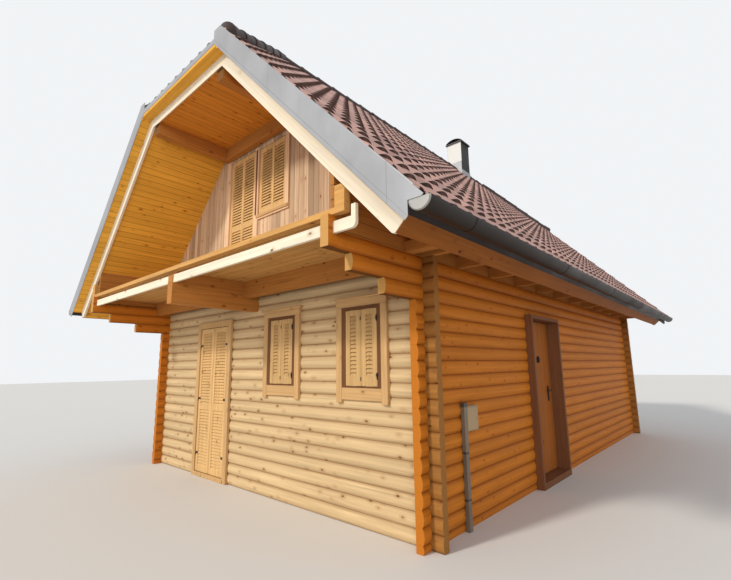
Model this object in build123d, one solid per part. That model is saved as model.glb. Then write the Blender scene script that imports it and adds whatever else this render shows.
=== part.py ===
"""Log cabin with a deep front balcony under a half-hipped tiled roof.

Millimetres. X runs right along the front wall, Y runs from the front to the rear, Z is up.
The origin is at ground level in the middle of the log walls' footprint.
"""
import math
import os

from build123d import *

# Log walls
cabin_width = 5620.0          # outer crest to outer crest, side wall to side wall
cabin_length = 8500.0         # outer crest to outer crest, front wall to rear wall
log_pitch = 143.0             # height of one course
side_courses = 18             # whole courses above the side walls' half log
log_thickness = 90.0
log_groove = 18.0             # how far the joint between two logs lies behind the crest
corner_reach = 115.0          # log ends past the crossing wall
floor_thickness = 60.0

# Floors and joists
joist_height = 130.0
joist_width = 80.0
joist_spacing = 770.0
joist_first = 700.0           # first joist's front face behind the front wall's crests
board_thickness = 30.0
panel_inner = 2750.0          # boarded eave panels over the side walls, inner and outer face
panel_outer = 2790.0

# Balcony
balcony_reach = 1170.0        # rim board's rear face in front of the front wall's crests
rim_thickness = 30.0
rim_bottom_drop = 35.0        # rim board's lower edge below the wall tops
rim_height = 92.0
rim_left_end = -2760.0
rim_right_end = 3050.0
rim_hook_height = 90.0
rim_hook_width = 45.0
balcony_deck_thickness = 60.0
edge_strip_height = 50.0
edge_strip_thickness = 45.0
end_block_place = 2840.0      # inner face of the upright blocks at the strip's ends
end_block_width = 107.0
end_block_depth = 68.0
end_block_height = 175.0
end_block_gap = 5.0           # under the barge boards
bearer_place = 250.0          # bearer's front face in front of the front wall's crests
bearer_width = 120.0
bearer_height = 115.0
centre_beam_width = 120.0
centre_beam_depth = 285.0
centre_beam_nose = 40.0       # length of the front end past the rim board's rear face
corbel_reach = [570.0, 980.0]  # the two lower corbel logs, the top one reaches the rim
corbel_nose = 80.0            # upright front end of the top corbel logs past the rim board's rear face

# Roof
roof_lift = 468.25            # inner lining over the side walls' tops, above their outer faces
roof_rise = 1.05              # rise over run of the main slopes
tile_thickness = 55.0
verge_depth = 200.0           # tile line to the underside of the verge, square to the slope
lining_depth = 335.0          # tile line to the inner lining
barge_depth = 354.0           # tile line to the barge boards' lower edge
front_verge = 1325.0          # verge in front of the front wall
front_barge = 1200.0          # barge boards' front face in front of the front wall
rear_verge = 420.0
rear_barge = 330.0
barge_thickness = 30.0
flashing_thickness = 5.0
flashing_overhang = 109.0     # flashing past the eave's square cut, beside the gutter
flashing_end = 985.0          # upper ends of the verges' flashing, from the ridge line
flashing_clip = 129.0         # height clipped off the flashing's upper corners
hip_edge_height = 70.0        # drip edge along the half-hips' eaves
barge_foot_radius = 28.0
eave_half_span = 3660.0       # square cut of the eave on the tile line
barge_foot = 3400.0           # lower corner of the barge boards' square foot
tile_overhang = 60.0          # eave tiles past the square cut, over the gutter
hip_drop = 1165.0             # ridge to the line that the half-hips' slabs hang from, at their eaves
hip_tile_sink = 80.0          # half-hips' tile line under that line, square to their slope
hip_soffit_drop = 215.0       # half-hips' level soffit under that line's eave
hip_ridge_setback = 1540.0    # verge to the ridge's end
ridge_tile_radius = 85.0

# Gables
gable_thickness = 80.0
ceiling_thickness = 20.0
purlin_width = 130.0
purlin_height = 180.0
header_thickness = 100.0
header_height = 205.0
gable_door = (-800.0, -110.0, 232.0)           # left, right, head below the ceiling
gable_window = (-20.0, 630.0, 1040.0, 262.0)   # left, right, height, head below the ceiling
gable_casing_width = 70.0
gable_casing_proud = 22.0

# Gutters
gutter_radius = 85.0
gutter_thickness = 4.0
gutter_place = 40.0           # gutter's axis past the eave's square cut
gutter_drop = 92.0            # gutter rim below the tile line at the square cut
gutter_rear_inset = 40.0
bracket_count = 12            # straps across each gutter
bracket_width = 25.0
bracket_thickness = 4.0
bracket_inset = 250.0         # first strap from the gutter's end

# Chimney
chimney_width = 390.0
chimney_front = 5800.0        # front face behind the front wall's crests
chimney_rise = 685.0          # top of the stack over the ridge's tile line
cap_plate_overhang = 35.0
cap_plate_thickness = 30.0
cowl_radius = 75.0
cowl_height = 95.0

# Ground floor windows
window_width = 500.0
window_height = 860.0
window_sill = 1365.0
front_window_centres = [620.0, 2005.0]
left_window_centres = [-2100.0, 1600.0]
casing_width = 137.0
casing_proud = 34.0
lining_thickness = 17.0
shutter_gap = 8.0
shutter_thickness = 32.0
shutter_recess = 12.0

# Hinges
hinge_radius = 7.0
hinge_height = 40.0           # each of a hinge's two barrels
hinge_play = 0.3              # between the two barrels
hinge_arm = 6.0               # thickness of the frame barrels' arms
hinge_notch = 8.0             # clearance radius around the fixed barrel
hinge_inset = 260.0           # outer hinges' middles from a door leaf's ends
fixed_hinge_height = 70.0
fixed_hinge_depth = 24.0
fixed_hinge_inset = 130.0

# Louvres
stile_width = 58.0
rail_height = 75.0
louvre_pitch = 48.0
louvre_lip = 3.0              # slats' front edges behind the leaf's face
louvre_edge = 8.0
louvre_depth = 17.0           # closed back of the slats behind the leaf's face

# Front door
front_door_left = -1500.0
front_door_right = -630.0
front_door_head = 2240.0
front_door_lining = 30.0
front_door_casing = 90.0
front_door_sill = 62.0

# Side door
side_door_near = 2450.0       # box frame's near edge behind the front wall's crests
side_door_width = 1100.0
side_door_head = 2270.0
side_door_board = 50.0
side_door_sill = 80.0
side_door_proud = 90.0        # box frame in front of the crests
side_door_inside = 40.0       # box frame past the inner wall face
side_leaf_thickness = 45.0
door_gap = 8.0
handle_height = 1165.0
handle_plate = (42.0, 220.0, 10.0)
handle_setback = 150.0
lever_length = 120.0
lever_radius = 10.0
lever_stand = 45.0

# Meter box and conduit cover on the right wall
conduit_width = 60.0
conduit_depth = 40.0
conduit_height = 1205.0
conduit_place = 625.0         # centre behind the front wall's crests
meter_width = 235.0
meter_height = 250.0
meter_depth = 35.0
meter_bottom = 930.0

# Sizes that follow from the ones above
half_width = cabin_width / 2
front_y = -cabin_length / 2
rear_y = cabin_length / 2
wall_top = log_pitch * (side_courses + 0.5)
inner_x = half_width - log_thickness
deck_under = wall_top + joist_height
deck_top = deck_under + board_thickness
slope = math.atan(roof_rise)
stretch = math.hypot(1, roof_rise)     # vertical height of a depth of 1 square to the slope
ridge_height = wall_top + roof_lift + roof_rise * half_width + lining_depth * stretch
chimney_top = ridge_height + chimney_rise
front_verge_y = front_y - front_verge
front_barge_y = front_y - front_barge
rear_verge_y = rear_y + rear_verge
rear_barge_y = rear_y + rear_barge
hip_eave_height = ridge_height - hip_drop
hip_rise = hip_drop / hip_ridge_setback
hip_stretch = math.hypot(1, hip_rise)
hip_tile_drop = hip_drop + hip_tile_sink * hip_stretch
hip_tile_eave = ridge_height - hip_tile_drop
hip_soffit = hip_eave_height - hip_soffit_drop
# The flat ceiling meets the half-hip's lining behind the barge boards
ceiling_height = (hip_eave_height + hip_rise * (front_verge - front_barge + barge_thickness)
                  - lining_depth * hip_stretch)
door_x0, door_x1, door_head_drop = gable_door
win_x0, win_x1, win_height, win_head_drop = gable_window
door_head = ceiling_height - door_head_drop
win_head = ceiling_height - win_head_drop
win_sill = win_head - win_height
chimney_y = front_y + chimney_front + chimney_width / 2
far = 20000.0


def box(x0, x1, y0, y1, z0, z1):
    """Axis-aligned block between two corners."""
    size = Box(x1 - x0, y1 - y0, z1 - z0)
    return Pos((x0 + x1) / 2, (y0 + y1) / 2, (z0 + z1) / 2) * size


def solids_of(shape):
    """Every solid of a shape as a plain list."""
    return list(shape.solids())


def save(name, *shapes):
    """Write one node from one or more solids."""
    solids = [solid for shape in shapes for solid in solids_of(shape)]
    body = solids[0] if len(solids) == 1 else Compound(children=solids)
    export_step(body, f"parts/{name}.step")


def log_stack(levels, origin, outward, length):
    """Stack of D-shaped logs with a flat inner face.

    levels are the heights of the joints, origin is a point on the crest line at ground level,
    and the stack runs from there along Z cross outward.
    """
    along = Vector(outward).cross(Vector(0, 0, 1))
    corners = [(-log_thickness, levels[0]), (-log_groove, levels[0])]
    edges = [Line(corners[0], corners[1])]
    for low, high in zip(levels, levels[1:]):
        bulge = log_groove * min(1.0, (high - low) / log_pitch)
        crest = (-log_groove + bulge, (low + high) / 2)
        edges.append(ThreePointArc((-log_groove, low), crest, (-log_groove, high)))
    top = levels[-1]
    edges.append(Line((-log_groove, top), (-log_thickness, top)))
    edges.append(Line((-log_thickness, top), corners[0]))
    plane = Plane(origin=origin, x_dir=outward, z_dir=along)
    return extrude(plane * make_face(Wire(edges)), amount=length)


side_levels = [0.0] + [log_pitch * (k + 0.5) for k in range(side_courses + 1)]
end_levels = [log_pitch * k for k in range(side_courses + 1)] + [wall_top]


def side_stack(side, y0, y1, levels):
    """Logs of a side wall between two places along Y; side is 1 on the right and -1 on the left."""
    start = y1 if side > 0 else y0
    return log_stack(levels, (side * half_width, start, 0), (side, 0, 0), y1 - y0)


def end_stack(end, x0, x1, levels):
    """Logs of the front (-1) or rear (1) wall between two places along X."""
    start = x1 if end < 0 else x0
    return log_stack(levels, (start, end * cabin_length / 2, 0), (0, end, 0), x1 - x0)


def crossing(side, end):
    """Block that flattens a side wall's crests where the end wall's logs pass."""
    x0, x1 = sorted((side * (half_width - log_groove), side * (half_width + log_groove)))
    face = end * cabin_length / 2
    y0, y1 = sorted((face, face - end * log_thickness))
    return box(x0, x1, y0, y1, -1, wall_top + 1)


def side_wall(side):
    """A whole side wall with its log ends, notched where the end walls cross."""
    reach = cabin_length / 2 + corner_reach
    wall = side_stack(side, -reach, reach, side_levels)
    return wall - crossing(side, -1) - crossing(side, 1)


def corner_ends():
    """Ends of the front and rear walls' logs, outside the side walls."""
    stacks = []
    for end in (-1, 1):
        for side in (-1, 1):
            x0, x1 = sorted((side * (half_width - log_groove), side * (half_width + corner_reach)))
            stacks.append(end_stack(end, x0, x1, end_levels))
    return stacks


def corbels():
    """Top three side wall logs, each reaching further out under the balcony."""
    reaches = corbel_reach + [balcony_reach]
    first = len(side_levels) - 1 - len(reaches)
    stacks = []
    for side in (-1, 1):
        logs = []
        for number, reach in enumerate(reaches):
            levels = side_levels[first + number:first + number + 2]
            logs.append(side_stack(side, front_y - reach, front_y - corner_reach, levels))
        stacks.append(logs[0] + logs[1:] + nose(side))
    return stacks


def nose(side):
    """Upright front end of a top corbel log, up to the strip along the balcony's edge."""
    rim_y = front_y - balcony_reach
    x0, x1 = sorted((side * inner_x, side * half_width))
    return box(x0, x1, rim_y - corbel_nose, rim_y, side_levels[-2], deck_top - edge_strip_height)


def lining_height(x):
    """Height of the roof's inner lining at a place along X."""
    return ridge_height - lining_depth * stretch - roof_rise * abs(x)


def under_slopes(depth, y0, y1, margin=0.0):
    """Everything below a surface that lies depth under the tile line, with both half-hips."""
    top = ridge_height - depth * stretch + margin
    base = -far / 4
    run = (top - base) / roof_rise
    outline = Polyline((-run, base), (0, top), (run, base), close=True)
    body = extrude(Plane.XZ * make_face(outline), amount=y1 - y0)
    body = Pos(0, y1, 0) * body
    for end, verge_y in ((-1, front_verge_y), (1, rear_verge_y)):
        sunk = hip_tile_sink if depth <= tile_thickness else 0
        eave = hip_eave_height - (depth + sunk) * hip_stretch + margin
        reach = far / 4
        outline = Polyline((verge_y + end * reach, eave - hip_rise * reach),
                           (verge_y - end * reach, eave + hip_rise * reach),
                           (verge_y - end * reach, far), (verge_y + end * reach, far), close=True)
        body -= extrude(Plane.YZ * make_face(outline), amount=far / 2, both=True)
    return body


def verge_strip(depth0, depth1, y0, y1):
    """Part of the main slopes between two depths, carried on past the half-hips."""
    reach = far / 4
    points = [(-reach, -roof_rise * reach), (0, 0), (reach, -roof_rise * reach)]
    upper = [(x, z + ridge_height - depth0 * stretch) for x, z in points]
    lower = [(x, z + ridge_height - depth1 * stretch) for x, z in reversed(points)]
    outline = make_face(Polyline(*upper, *lower, close=True))
    return Pos(0, y1, 0) * extrude(Plane.XZ * outline, amount=y1 - y0)


def hip_prism(end, drop):
    """Upright prism over a half-hip's triangle on plan, wide open past the verge."""
    verge_y = front_verge_y if end < 0 else rear_verge_y
    setback = drop / hip_rise
    tip_y = verge_y - end * setback
    past = hip_ridge_setback / 4
    wide = drop / roof_rise * (1 + past / setback)
    outline = Polyline((0, tip_y), (wide, verge_y + end * past), (-wide, verge_y + end * past), close=True)
    return extrude(make_face(outline), amount=far)


def square_cut(x_low, depth_low, extra=0.0):
    """Block right of a cut that is square to the right slope and passes under the eave.

    x_low is where the cut meets the surface that lies depth_low under the tile line.
    """
    z_low = ridge_height - depth_low * stretch - roof_rise * x_low
    direction = math.degrees(slope)
    block = box(extra, far, -far, far, -far, far)
    return Pos(x_low, 0, z_low) * Rot(0, direction, 0) * block


def trim_eaves(body, x_low, depth_low, extra=0.0):
    """Cut both eaves of a roof layer square."""
    cut = square_cut(x_low, depth_low, extra)
    return body - cut - mirror(cut, Plane.YZ)


def roof_layer(depth0, depth1, y0, y1):
    """Part of the roof between two depths under the tile line."""
    return under_slopes(depth0, y0, y1) - under_slopes(depth1, y0, y1)


def halves(body, drop):
    """Right slope, left slope, front half-hip and rear half-hip of a roof layer."""
    front = hip_prism(-1, drop)
    rear = hip_prism(1, drop)
    slopes = body - front - rear
    right = slopes & box(0, far, -far, far, -far, far)
    left = slopes & box(-far, 0, -far, far, -far, far)
    return right, left, body & front, body & rear


def chimney_block(z0, z1, grow=0.0):
    """Upright block on the chimney's plan."""
    half = chimney_width / 2 + grow
    return box(-half, half, chimney_y - half, chimney_y + half, z0, z1)


def roof():
    """Tiles, insulated rafter slabs and the boards along the verges."""
    tiles = trim_eaves(roof_layer(0, tile_thickness, front_verge_y, rear_verge_y),
                       eave_half_span, 0, tile_overhang)
    deck = trim_eaves(roof_layer(tile_thickness, verge_depth, front_verge_y, rear_verge_y),
                      eave_half_span, 0)
    level = (ridge_height - verge_depth * stretch - hip_soffit) / roof_rise
    for y0, y1 in ((front_verge_y, front_barge_y), (rear_barge_y, rear_verge_y)):
        deck -= box(-level, level, y0, y1, -far, far)
        deck += under_slopes(tile_thickness, y0, y1) & box(-level, level, y0, y1, hip_soffit, far)
    front_in = front_barge_y + barge_thickness
    rear_in = rear_barge_y - barge_thickness
    rafters = trim_eaves(roof_layer(verge_depth, lining_depth, front_in, rear_in), barge_foot, barge_depth)
    shaft = chimney_block(0, far)
    layers = []
    for layer, drop in ((tiles, hip_tile_drop), (deck, hip_drop), (rafters, hip_drop)):
        layers.append(halves(layer - shaft, drop))
    slabs = [upper + lower for upper, lower in zip(layers[1], layers[2])]
    for name, pieces in (("roof_tiles", layers[0]), ("roof_slab", slabs)):
        save(f"{name}_right", pieces[0])
        save(f"{name}_left", pieces[1])
        save(f"{name}_hips", pieces[2], pieces[3])


def barge_boards():
    """Pale boards under the verges and the half-hips' eaves."""
    boards = []
    for y0, y1 in ((front_barge_y, front_barge_y + barge_thickness),
                   (rear_barge_y - barge_thickness, rear_barge_y)):
        board = trim_eaves(roof_layer(verge_depth, barge_depth, y0, y1), barge_foot, barge_depth)
        foot = board.edges().filter_by(Axis.Y).filter_by(lambda edge: edge.center().Z < wall_top)
        boards.append(fillet(foot, barge_foot_radius))
    return boards


def verge_flashing():
    """Sheet metal faces over the ends of the tiles and of the boards under them."""
    inner_edge = eave_half_span + gutter_place - gutter_radius
    beside = box(inner_edge, far, -far, far, 0, gutter_rim())
    between = box(-flashing_end, flashing_end, -far, far, -far, far)
    crest = ridge_height - roof_rise * flashing_end - flashing_clip
    above = box(-far, far, -far, far, crest, far)
    sheets = []
    for y0, y1 in ((front_verge_y - flashing_thickness, front_verge_y),
                   (rear_verge_y, rear_verge_y + flashing_thickness)):
        sheet = trim_eaves(verge_strip(0, verge_depth, y0, y1), eave_half_span, 0, flashing_overhang)
        sheet = sheet - between - above - beside - mirror(beside, Plane.YZ)
        edge = box(-flashing_end, flashing_end, y0, y1, hip_tile_eave - hip_edge_height, hip_tile_eave)
        sheets.append(sheet + edge)
    return sheets


def ridge_tiles():
    """Half-round caps along the ridge and down the four hips."""
    ends = [(-1, front_verge_y), (1, rear_verge_y)]
    tips = [Vector(0, verge - end * hip_tile_drop / hip_rise, ridge_height) for end, verge in ends]
    clear = under_slopes(0, front_verge_y, rear_verge_y) + chimney_block(0, far)
    clear += box(-far, far, -far, front_verge_y, 0, far) + box(-far, far, rear_verge_y, far, 0, far)
    chimney_reach = Vector(0, chimney_width / 2, 0)
    middle = Vector(0, chimney_y, ridge_height)
    caps = []
    for (end, verge_y), tip in zip(ends, tips):
        body = half_pipe(middle + chimney_reach * end, tip) - clear
        for side in (-1, 1):
            foot = Vector(side * hip_tile_drop / roof_rise, verge_y, hip_tile_eave)
            body += half_pipe(tip, foot) - clear
        caps.append(body)
    return caps


def half_pipe(start, end):
    """Round cap tile from one point to another, its axis on the line between them."""
    along = end - start
    plane = Plane(origin=start, z_dir=along)
    return extrude(plane * Circle(ridge_tile_radius), amount=along.length)


def gutter(side):
    """Half-round gutter with closed ends under one eave."""
    centre_x = eave_half_span + gutter_place
    z_rim = gutter_rim()
    y0 = front_verge_y
    y1 = rear_verge_y - gutter_rear_inset
    plane = Plane(origin=(centre_x, y1, z_rim), x_dir=(1, 0, 0), z_dir=(0, -1, 0))
    below = Pos(0, -gutter_radius) * Rectangle(3 * gutter_radius, 2 * gutter_radius)
    outer = Circle(gutter_radius) & below
    inner = Circle(gutter_radius - gutter_thickness) & below
    shell = extrude(plane * outer, amount=y1 - y0)
    hollow = extrude(plane.offset(gutter_thickness) * inner, amount=y1 - y0 - 2 * gutter_thickness)
    trough = shell - hollow
    return trough if side > 0 else mirror(trough, Plane.YZ)


def gutter_rim():
    """Height of the gutters' rims."""
    return ridge_height - roof_rise * eave_half_span - gutter_drop


def gutter_brackets():
    """Straps across the gutters, fixed to the eaves' square cuts."""
    first = front_verge_y + bracket_inset
    last = rear_verge_y - gutter_rear_inset - bracket_inset
    outside = square_cut(eave_half_span, 0)
    z_rim = gutter_rim()
    straps = []
    for number in range(bracket_count):
        y = first + (last - first) * number / (bracket_count - 1)
        strap = box(eave_half_span - 2 * gutter_radius, eave_half_span + gutter_place + gutter_radius,
                    y - bracket_width / 2, y + bracket_width / 2, z_rim, z_rim + bracket_thickness)
        strap = strap & outside
        straps += [strap, mirror(strap, Plane.YZ)]
    return straps


def gable_wall(end):
    """Boarded gable from the floor up to the roof lining and the flat ceiling."""
    face = end * cabin_length / 2
    y0, y1 = sorted((face, face - end * gable_thickness))
    slab = box(-panel_inner, panel_inner, y0, y1, deck_top, ceiling_height)
    outline = Polyline((-far, lining_height(far)), (0, lining_height(0)), (far, lining_height(far)), close=True)
    roof_void = extrude(Plane.XZ * make_face(outline), amount=far, both=True)
    return slab & roof_void


def ring(x0, x1, z0, z1, width, y0, y1):
    """Rectangular frame around an opening in the XZ plane."""
    outer = box(x0 - width, x1 + width, y0, y1, z0 - width, z1 + width)
    return outer - box(x0, x1, y0 - 1, y1 + 1, z0, z1)


def slats(width, z0, z1):
    """Column of sloping slats with a closed back, from X = 0, its face towards -Y."""
    count = round((z1 - z0) / louvre_pitch)
    pitch = (z1 - z0) / count
    points = [(shutter_thickness, z0)]
    for number in range(count):
        z = z0 + number * pitch
        points += [(louvre_lip, z), (louvre_lip, z + louvre_edge), (louvre_depth, z + pitch)]
    points.append((shutter_thickness, z1))
    return extrude(Plane.YZ * make_face(Polyline(*points, close=True)), amount=width)


def louvred_leaf(width, height, columns):
    """Louvred leaf with its lower left front corner at the origin, its face towards -Y."""
    leaf = box(0, width, 0, shutter_thickness, 0, height)
    field = (width - (columns + 1) * stile_width) / columns
    low = rail_height
    high = height - rail_height
    fields = []
    for column in range(columns):
        x0 = stile_width + column * (field + stile_width)
        leaf -= box(x0, x0 + field, -1, shutter_thickness + 1, low, high)
        fields.append(Pos(x0, 0, 0) * slats(field, low, high))
    return leaf + fields


def fixed_hinges(x, y, z0, z1):
    """Two hinges in the gap right of a leaf that stays shut, from the casing's front face y."""
    blocks = []
    for z in (z0 + fixed_hinge_inset, z1 - fixed_hinge_inset):
        blocks.append(box(x, x + shutter_gap, y, y + fixed_hinge_depth,
                          z - fixed_hinge_height / 2, z + fixed_hinge_height / 2))
    return blocks


def ground_window(face_plane):
    """Casing ring, shutter and hinges of a ground floor window, placed by a plane on the crest line.

    The plane's X runs to the right seen from outside and its Y runs into the house.
    """
    half = window_width / 2
    z0, z1 = window_sill, window_sill + window_height
    casing = ring(-half + lining_thickness, half - lining_thickness, z0 + lining_thickness,
                  z1 - lining_thickness, casing_width, -casing_proud, 0)
    lining = ring(-half + lining_thickness, half - lining_thickness, z0 + lining_thickness,
                  z1 - lining_thickness, lining_thickness, 0, log_thickness)
    clear = lining_thickness + shutter_gap
    leaf = louvred_leaf(window_width - 2 * clear, window_height - 2 * clear, 2)
    leaf = Pos(-half + clear, -casing_proud + shutter_recess, z0 + clear) * leaf
    hinges = fixed_hinges(half - clear, -casing_proud, z0, z1)
    return face_plane * (casing + lining), face_plane * leaf, [face_plane * block for block in hinges]


def window_hole():
    """Block that cuts a ground floor window through its wall."""
    half = window_width / 2
    return box(-half, half, -log_thickness, 2 * log_thickness, window_sill, window_sill + window_height)


def main():
    os.makedirs("parts", exist_ok=True)

    # Ground floor and the two long walls
    end_inner = cabin_length / 2 - log_thickness
    near = front_y + side_door_near
    far_jamb = near + side_door_width
    floor = box(-inner_x, inner_x, -end_inner, end_inner, 0, floor_thickness)
    save("ground_floor", floor - box(inner_x - side_door_inside, far, near, far_jamb, -1, far))

    right = side_wall(1)
    save("right_wall_front", right & box(0, far, -far, near, -far, far))
    save("right_wall_rear", right & box(0, far, far_jamb, far, -far, far))
    save("right_wall_over_door", right & box(0, far, near, far_jamb, side_door_head, far))

    left = side_wall(-1)
    casings = []
    shutters = []
    hinges = []
    for y in left_window_centres:
        plane = Plane(origin=(-half_width, y, 0), x_dir=(0, -1, 0), z_dir=(0, 0, 1))
        left -= plane * window_hole()
        casing, leaf, blocks = ground_window(plane)
        casings.append(casing)
        shutters.append(leaf)
        hinges += blocks
    save("left_wall", left)

    # Front and rear walls, the front one pierced by windows, a door and the balcony's beam
    pocket = centre_beam()
    front = end_stack(-1, -inner_x, inner_x, end_levels) - pocket
    for x in front_window_centres:
        plane = Plane(origin=(x, front_y, 0))
        front -= plane * window_hole()
        casing, leaf, blocks = ground_window(plane)
        casings.append(casing)
        shutters.append(leaf)
        hinges += blocks
    save("front_wall_left", front & box(-far, front_door_left, -far, far, -far, far))
    save("front_wall_right", front & box(front_door_right, far, -far, far, -far, far))
    save("front_wall_over_door", front & box(front_door_left, front_door_right, -far, far, front_door_head, far))
    save("window_casings", *casings)
    save("window_shutters", *shutters)
    save("shutter_hinges", *hinges, *gable_hinges())
    save("rear_wall", end_stack(1, -inner_x, inner_x, end_levels))
    save("corner_log_ends", *corner_ends())
    save("corbel_logs", *corbels())

    # Joists and floors
    chimney_hole = chimney_block(0, far)
    bars = joists()
    save("floor_joists", *[bar - chimney_hole for bar in bars])
    attic = box(-panel_inner, panel_inner, front_y, rear_y, deck_under, deck_top)
    save("upper_floor", attic - chimney_hole)
    save("eave_panels", eave_panel(1) - bars, eave_panel(-1) - bars)

    # Balcony
    beam = centre_beam() - bars
    save("balcony_beam", beam)
    bearer_y = front_y - bearer_place
    bearer = box(-inner_x, inner_x, bearer_y, bearer_y + bearer_width, wall_top - bearer_height, wall_top)
    save("balcony_bearer", bearer - pocket)
    save("balcony_deck", balcony_deck())
    save("balcony_rim_board", rim_board() - pocket - nose(1) - nose(-1))

    # Gables and the balcony's ceiling
    front_gable = gable_wall(-1)
    front_gable -= box(door_x0, door_x1, -far, 0, deck_top - 1, door_head)
    front_gable -= box(win_x0, win_x1, -far, 0, win_sill, win_head)
    save("front_gable_wall", front_gable)
    save("rear_gable_wall", gable_wall(1))
    save_gable_openings()
    save_ceiling()

    # Roof
    roof()
    save("ridge_tiles", *ridge_tiles())
    save("barge_boards", *barge_boards())
    save("verge_flashing", *verge_flashing())
    save("gutters", gutter(1), gutter(-1))
    save("gutter_brackets", *gutter_brackets())

    # Chimney
    save("chimney_stack", chimney_block(floor_thickness, chimney_top))
    plate = chimney_block(chimney_top, chimney_top + cap_plate_thickness, cap_plate_overhang)
    cowl = Pos(0, chimney_y, chimney_top + cap_plate_thickness + cowl_height / 2)
    save("chimney_cap", plate + cowl * Cylinder(cowl_radius, cowl_height))

    save_front_door()
    save_side_door()
    save_meter()


def centre_beam():
    """Deep beam under the middle of the balcony, built into the front wall."""
    half = centre_beam_width / 2
    rim_y = front_y - balcony_reach
    beam = box(-half, half, rim_y - centre_beam_nose, front_y + log_thickness, wall_top - centre_beam_depth,
               wall_top)
    nose = box(-half, half, rim_y - centre_beam_nose, rim_y, wall_top, rim_top())
    crest = box(-half, half, rim_y, front_y, wall_top, deck_top - balcony_deck_thickness)
    return beam + nose + crest


def rim_top():
    """Upper edge of the rim board."""
    return wall_top - rim_bottom_drop + rim_height


def joist(y, width, height):
    """Joist across the house at one place, cut to the roof slopes at its ends."""
    half = (ridge_height - lining_depth * stretch - wall_top) / roof_rise
    short = half - height / roof_rise
    outline = Polyline((-half, wall_top), (half, wall_top), (short, wall_top + height),
                       (-short, wall_top + height), close=True)
    plane = Plane(origin=(0, y, 0), x_dir=(1, 0, 0), z_dir=(0, -1, 0))
    return extrude(plane * make_face(outline), amount=-width)


def joists():
    """Joists over the rooms and the lower one over the balcony's bearer."""
    count = int((cabin_length - joist_spacing / 2) // joist_spacing)
    places = [front_y, rear_y - joist_width]
    places += [front_y + joist_first + joist_spacing * k for k in range(count)]
    bars = [joist(y, joist_width, joist_height) for y in places]
    low = deck_top - balcony_deck_thickness - wall_top
    bars.append(joist(front_y - bearer_place, bearer_width, low))
    return bars


def eave_panel(side):
    """Boarded panel over a side wall that closes the eave and the balcony's side."""
    outline = Polyline((panel_inner, wall_top), (panel_outer, wall_top),
                       (panel_outer, lining_height(panel_outer)),
                       (panel_inner, lining_height(panel_inner)), close=True)
    plane = Plane(origin=(0, rear_y, 0), x_dir=(1, 0, 0), z_dir=(0, -1, 0))
    panel = extrude(plane * make_face(outline), amount=cabin_length + balcony_reach)
    return panel if side > 0 else mirror(panel, Plane.YZ)


def balcony_deck():
    """Balcony floor boards with the strip along their front edge and an upright block at each end."""
    low = deck_top - balcony_deck_thickness
    rim_y = front_y - balcony_reach
    strip_y = rim_y - edge_strip_thickness
    end = end_block_place + end_block_width
    deck = box(-panel_inner, panel_inner, rim_y, front_y, low, deck_top)
    strip = box(-end_block_place, end_block_place, strip_y, rim_y, deck_top - edge_strip_height, deck_top)
    blocks = []
    for side in (-1, 1):
        x0, x1 = sorted((side * end_block_place, side * end))
        y1 = strip_y + end_block_depth
        block = box(x0, x1, strip_y, y1, deck_top - edge_strip_height, deck_top + end_block_height)
        blocks.append(block & under_slopes(barge_depth, strip_y, y1, -end_block_gap))
    return deck + [strip] + blocks


def rim_board():
    """Board in front of the balcony's joists, with a hooked right end."""
    z0 = wall_top - rim_bottom_drop
    z1 = rim_top()
    y0 = front_y - balcony_reach - rim_thickness
    board = box(rim_left_end, rim_right_end, y0, y0 + rim_thickness, z0, z1)
    hook = box(rim_right_end - rim_hook_width, rim_right_end, y0, y0 + rim_thickness, z1, z1 + rim_hook_height)
    body = board + hook
    lower = body.edges().filter_by(Axis.Y).sort_by(lambda edge: edge.center().X - edge.center().Z)[-1]
    return fillet(lower, rim_hook_width)


def gable_hinges():
    """Hinges of the balcony's door and window, which stay shut."""
    blocks = fixed_hinges(door_x1 - shutter_gap, front_y, deck_top, door_head)
    return blocks + fixed_hinges(win_x1 - shutter_gap, front_y, win_sill, win_head)


def hang(leaf, x, y, z0, z1, arm_x, arm_y):
    """Give a door leaf barrels on its pivot axis and return it with the frame's barrels.

    x and y place the axis on the leaf's corner; arm_x and arm_y reach from it to the frame.
    """
    spread_x, spread_y = (hinge_arm / 2, 0) if arm_x == 0 else (0, hinge_arm / 2)
    x0, x1 = sorted((x, x + arm_x))
    y0, y1 = sorted((y, y + arm_y))
    fixed = []
    for z in (z0 + hinge_inset, (z0 + z1) / 2, z1 - hinge_inset):
        low = z - hinge_height
        barrel = Pos(x, y, low + hinge_height / 2) * Cylinder(hinge_radius, hinge_height)
        arm = box(x0 - spread_x, x1 + spread_x, y0 - spread_y, y1 + spread_y, low, z)
        fixed.append(barrel + arm)
        notch = Pos(x, y, low + hinge_height / 2) * Cylinder(hinge_notch, hinge_height + 2 * hinge_play)
        leaf -= notch
        upper = z + hinge_play
        leaf += Pos(x, y, upper + hinge_height / 2) * Cylinder(hinge_radius, hinge_height)
    return leaf, fixed


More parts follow.
